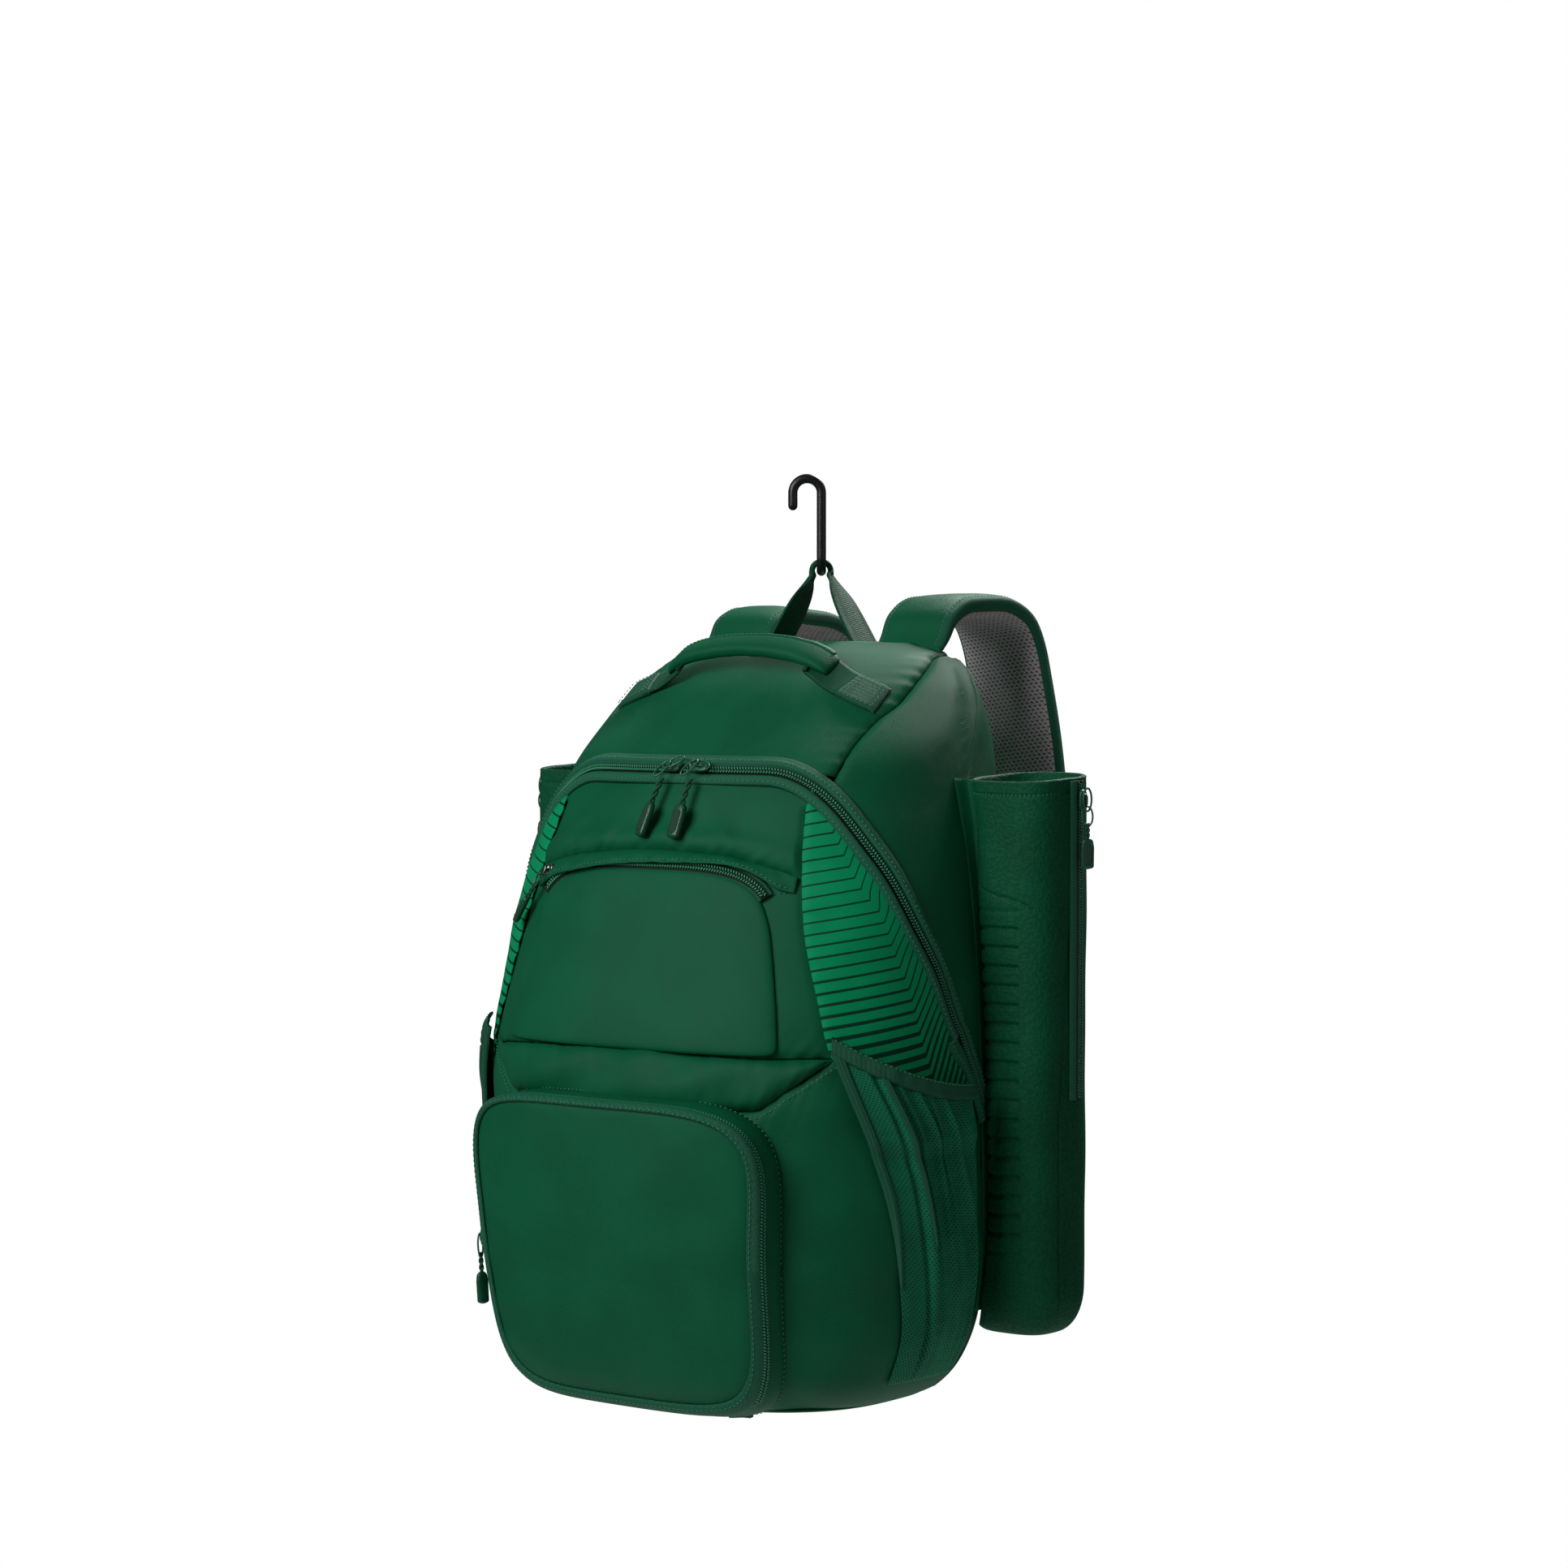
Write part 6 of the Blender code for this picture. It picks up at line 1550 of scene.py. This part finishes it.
patch_weave = herringbone("patch_weave", (0.0030, 0.060, 0.029), (0.0110, 0.150, 0.080), 0.0010, 0.0030,
                          0.00014)
for side, sign in (("left", -1), ("right", 1)):
    share = np.linspace(-0.06, 0.60, 50)
    x = HANDLE_LENGTH / 2 - 0.012 + 0.056 * share
    z = HANDLE_Z - HANDLE_DROP - 0.018 * np.clip(share, 0, 1) ** 1.2
    lift = 0.0026 + 0.0098 * np.clip((0.42 - share) / 0.48, 0, 1) ** 1.4
    place = turn_at(sign * x, z)
    offsets = np.linspace(-0.5, 0.5, 11) * WEBBING_WIDTH
    points = strip(skin, place, z, offsets, lift[:, None])
    make_cloth(f"handle_webbing_{side}_ribs", points, webbing, (f"handle_webbing_{side}",),
               wall=WEBBING_THICK)
    share = np.linspace(0.50, 0.99, 40)
    x = HANDLE_LENGTH / 2 - 0.012 + 0.056 * share
    z = HANDLE_Z - HANDLE_DROP - 0.018 * share ** 1.2
    place = turn_at(sign * x, z)
    offsets = np.linspace(-0.52, 0.52, 17) * WEBBING_WIDTH
    edge = blunt_edge(offsets, 0.06)
    ends = np.minimum(1, np.minimum((share - share[0]) / 0.02, (share[-1] - share) / 0.10)) ** 0.5
    grid = 0.0004 + 0.0032 * edge[None, :] * ends[:, None]
    make_cloth(f"handle_patch_{side}", strip(skin, place, z, offsets, grid), patch_weave,
               (f"handle_webbing_{side}",), wall=0.0012)
    box_stitching(f"handle_patch_stitching_{side}", place, z, 3, 0.0108, (4, 8, 35), 0.0042)


# The shoulder straps: padded bands that rise from the top and fall behind the back, the body's cloth
# outside, grey air mesh against the wearer, and ribbed binding sewn round both edges.
STRAP_LINE = np.array((         # along, back, height, out, width
    (0.00, -0.06, 0.000, 1.00, 0.82), (0.03, 0.04, 0.003, 1.00, 0.83), (0.07, 0.14, 0.024, 1.00, 0.85),
    (0.12, 0.32, 0.043, 1.00, 0.88), (0.19, 0.60, 0.046, 1.02, 0.94), (0.28, 0.86, 0.022, 1.04, 1.00),
    (0.37, 0.97, -0.040, 1.08, 1.00), (0.50, 1.00, -0.160, 1.20, 1.00), (0.66, 0.97, -0.320, 1.34, 1.00),
    (0.82, 0.88, -0.480, 1.44, 0.94), (0.94, 0.76, -0.620, 1.50, 0.82), (1.00, 0.68, -0.690, 1.53, 0.62)))
STRAP_DROOP = {"left": 0.012, "right": 0.002}
STRAP_THICK, STRAP_WIDTH = 0.012, 0.066


def strap_shape(side, sign, count=230):
    """Centres, way across, widths and thicknesses of a strap from its root to its lower end."""
    knots = np.linspace(0, 1, 400)
    back, height, out, width = (smooth_line(STRAP_LINE[:, [0, column]], knots) for column in range(1, 5))
    sag = STRAP_DROOP[side] * np.sin(np.pi * np.clip(knots / 0.40, 0, 1)) ** 2
    thick = STRAP_THICK * np.interp(knots, (0, 0.1, 0.93, 1), (0.6, 1, 1, 0.6))
    line = np.stack([sign * out * 0.075, back * 0.112, 0.5044 + height * BODY_HEIGHT - sag], -1)
    root = np.clip(1 - knots / 0.06, 0, 1)[:, None] ** 1.5
    line = line + root * (0, 0.004, -0.0125)
    thick = thick * (1 - 0.45 * root[:, 0])
    gone = reach(line[None], 1)[0]
    even = np.linspace(0, gone[-1], count)
    line = np.stack([np.interp(even, gone, line[:, k]) for k in range(3)], -1)
    for _ in range(6):
        line[1:-1] = (line[:-2] + line[1:-1] * 2 + line[2:]) / 4
    return line, np.interp(even, gone, width) * STRAP_WIDTH, np.interp(even, gone, thick)


def edge_ring(width, thick, lap, sign, count=17):
    """Corners round one edge of a strap's section, from lap inside it on one face to the same on the other."""
    fine = np.linspace(-np.pi / 2, np.pi / 2, 400)
    c, s = np.cos(fine), np.sin(fine)
    ring = np.stack([np.sign(c) * np.abs(c) ** 0.5, np.sign(s) * np.abs(s) ** 0.5], -1)
    near = (1 - ring[:, 0]) * width / 2 < lap
    ring = ring[near] * (width / 2, thick / 2)
    gone = reach(ring[None], 1)[0]
    even = np.linspace(0, gone[-1], count)
    ring = np.stack([np.interp(even, gone, ring[:, k]) for k in range(2)], -1)
    return ring * (sign, 1)


air_mesh = knit("air_mesh", (0.030, 0.024, 0.027), (0.62, 0.54, 0.58), 0.0005, (0.0038, 0.0026))
binding_weave = ribbed("binding_weave", (0.0030, 0.066, 0.032), (0.0120, 0.170, 0.092), 0.0013)
for side, sign in (("left", -1), ("right", 1)):
    line, widths, thicks = strap_shape(side, sign)
    along = unit(np.gradient(line, axis=0))
    across = unit(np.array((1.0, 0, 0)) - along[:, :1] * along)
    face = np.cross(across, along)
    rings = swept(line, across, widths, thicks, rounded_ring(56, 4) * (1, -1))[:, ::-1]
    around = rounded_ring(56, 4)[::-1]
    crown = 0.0016 * np.clip(np.cos(around[:, 0] * np.pi / 2), 0, 1) * np.sign(around[:, 1])
    ripple = 0.0006 * swells(np.arange(len(line)) / 4, 0, 9.0, 71)
    rings = rings + face[:, None] * (crown[None, :] + ripple[:, None] * 0.5)[..., None]
    piece = make_piece(f"shoulder_strap_{side}_pad", bar(rings), shell_twill,
                       (f"shoulder_strap_{side}",))
    sewn = np.zeros(rings.shape[:2], bool)
    sewn[:4] = sewn[-4:] = True
    sewn[:, np.abs(around[:, 0]) > 0.86] = True
    settled(piece, sewn.ravel(), 3.0, 0.002)

    # Air mesh on the inner face, slightly proud, and the bindings over its edges
    flat = np.linspace(-0.92, 0.92, 41)
    depth = (1 - np.abs(flat) ** 4) ** 0.25
    under = (line[:, None] + across[:, None] * (flat * widths[:, None] / 2)[..., None]
             - face[:, None] * (depth * thicks[:, None] / 2 + 0.0028 * np.clip(np.cos(flat * np.pi / 2), 0, 1)
                                + 0.0006)[..., None])
    under = under[4:-6]
    make_cloth(f"shoulder_strap_{side}_mesh", under[:, ::-1], air_mesh, (f"shoulder_strap_{side}",),
               wall=0.0010)
    for edge, way in (("inner", -sign), ("outer", sign)):
        section_points = np.stack([edge_ring(width + 0.0010, thick + 0.0013, 0.0066, way)
                                   for width, thick in zip(widths, thicks)])
        points = (line[:, None] + across[:, None] * section_points[..., :1]
                  + face[:, None] * section_points[..., 1:])
        points = points[2:-2]
        make_cloth(f"shoulder_strap_{side}_binding_{edge}", points[:, ::-1] if way > 0 else points,
                   binding_weave,
                   (f"shoulder_strap_{side}",), wall=0.0009)
        rows = [stitches(points[:, k] + face[2:-2] * lift, face[2:-2] * np.sign(lift), 0.0034, 0.0023)
                for k, lift in ((1, -0.0002), (-2, 0.0002))]
        make_piece(f"strap_stitching_{side}_{edge}", join(rows), thread)


# Below each strap: a moulded buckle, webbing threaded through it, and the anchor tape that holds the
# webbing at the body's bottom corner, box-stitched.
buckle_plastic = moulded("buckle_plastic", (0.0025, 0.034, 0.016), (0.005, 0.055, 0.028), 0.38)
tape_weave = ribbed("tape_weave", (0.0024, 0.034, 0.0155), (0.0070, 0.092, 0.045), 0.0012)
ANCHOR_TURN, ANCHOR_Z, ANCHOR_LENGTH = 1.58, 0.055, 0.040
BUCKLE_HEIGHT = 0.026
for side, sign in (("left", -1), ("right", 1)):
    buckle = bpy.data.objects[f"strap_buckle_{side}"]
    buckle.material_slots[0].material = buckle_plastic.material
    bevel = buckle.modifiers.new("rounded", "BEVEL")
    bevel.width, bevel.segments, bevel.limit_method = 0.0012, 3, "ANGLE"

    line, widths, thicks = strap_shape(side, sign)
    down = unit(line[-1] - line[-8])
    across = unit(np.array((1.0, 0, 0)) - down[0] * down)
    top = line[-1] + down * 0.0003
    start = top + down * (BUCKLE_HEIGHT + 0.0003)
    turn = np.array(sign * ANCHOR_TURN)
    upper = ANCHOR_Z + ANCHOR_LENGTH / 2
    out = skin.normal(turn, np.array(upper))
    climb = unit(skin.tangents(turn, np.array(upper))[1])
    sewn_at = skin.lifted(turn, upper - 0.012, 0.0026)
    freed, bent = start - down * 0.010, skin.lifted(turn, upper + 0.004, 0.0020)
    pull = np.linalg.norm(bent - freed) / 3
    t = np.linspace(0, 1, 90)[:, None]
    curve = ((1 - t) ** 3 * freed + 3 * (1 - t) ** 2 * t * (freed + down * pull)
             + 3 * (1 - t) * t ** 2 * (bent + climb * pull) + t ** 3 * bent)
    curve = np.concatenate([curve, bent + (sewn_at - bent) * np.linspace(0, 1, 12)[1:, None]])
    t = np.concatenate([t, np.ones((11, 1))])
    way = across + (np.cross(out, climb) * np.sign(np.cross(out, climb) @ across + 1e-9) - across) * t
    make_piece(f"lower_webbing_{side}_strip",
               bar(swept(curve, way, WEBBING_WIDTH, WEBBING_THICK, rounded_ring(16, 5))),
               webbing, (f"lower_webbing_{side}",))
    z = ANCHOR_Z + ANCHOR_LENGTH * np.linspace(-0.5, 0.5, 40)
    offsets = np.linspace(-0.5, 0.5, 15) * 0.0256
    edge = blunt_edge(offsets, 0.08)
    ends = np.minimum(1, np.minimum(z - z[0], z[-1] - z) / 0.002) ** 0.5
    lift = 0.0010 + 0.0034 * edge[None, :] * ends[:, None]
    make_cloth(f"strap_anchor_{side}_tape", strip(skin, turn + 0 * z, z, offsets, lift), tape_weave,
               (f"strap_anchor_{side}",), wall=0.0018)
    box_stitching(f"anchor_stitching_{side}", turn + 0 * z, z, 4, 0.0104, (4, 20, 35), 0.0045)


# The small folded tab sewn under the lower pocket
TAB_WIDTH = 0.016
z = 0.0092 - 0.009 * np.linspace(-0.25, 1, 30)
u = turn_at(0.073 + 0 * z, np.clip(z, 0.001, 1))
offsets = np.linspace(-0.5, 0.5, 13) * TAB_WIDTH
edge = blunt_edge(offsets, 0.08)
ends = np.minimum(1, np.minimum(z[0] - z, z - z[-1]) / 0.0015) ** 0.5
make_cloth("base_tab_tape", strip(skin, u, z, offsets, 0.0008 + 0.0028 * edge[None, :] * ends[:, None]),
           tape_weave,
           ("base_tab",), wall=0.0014)
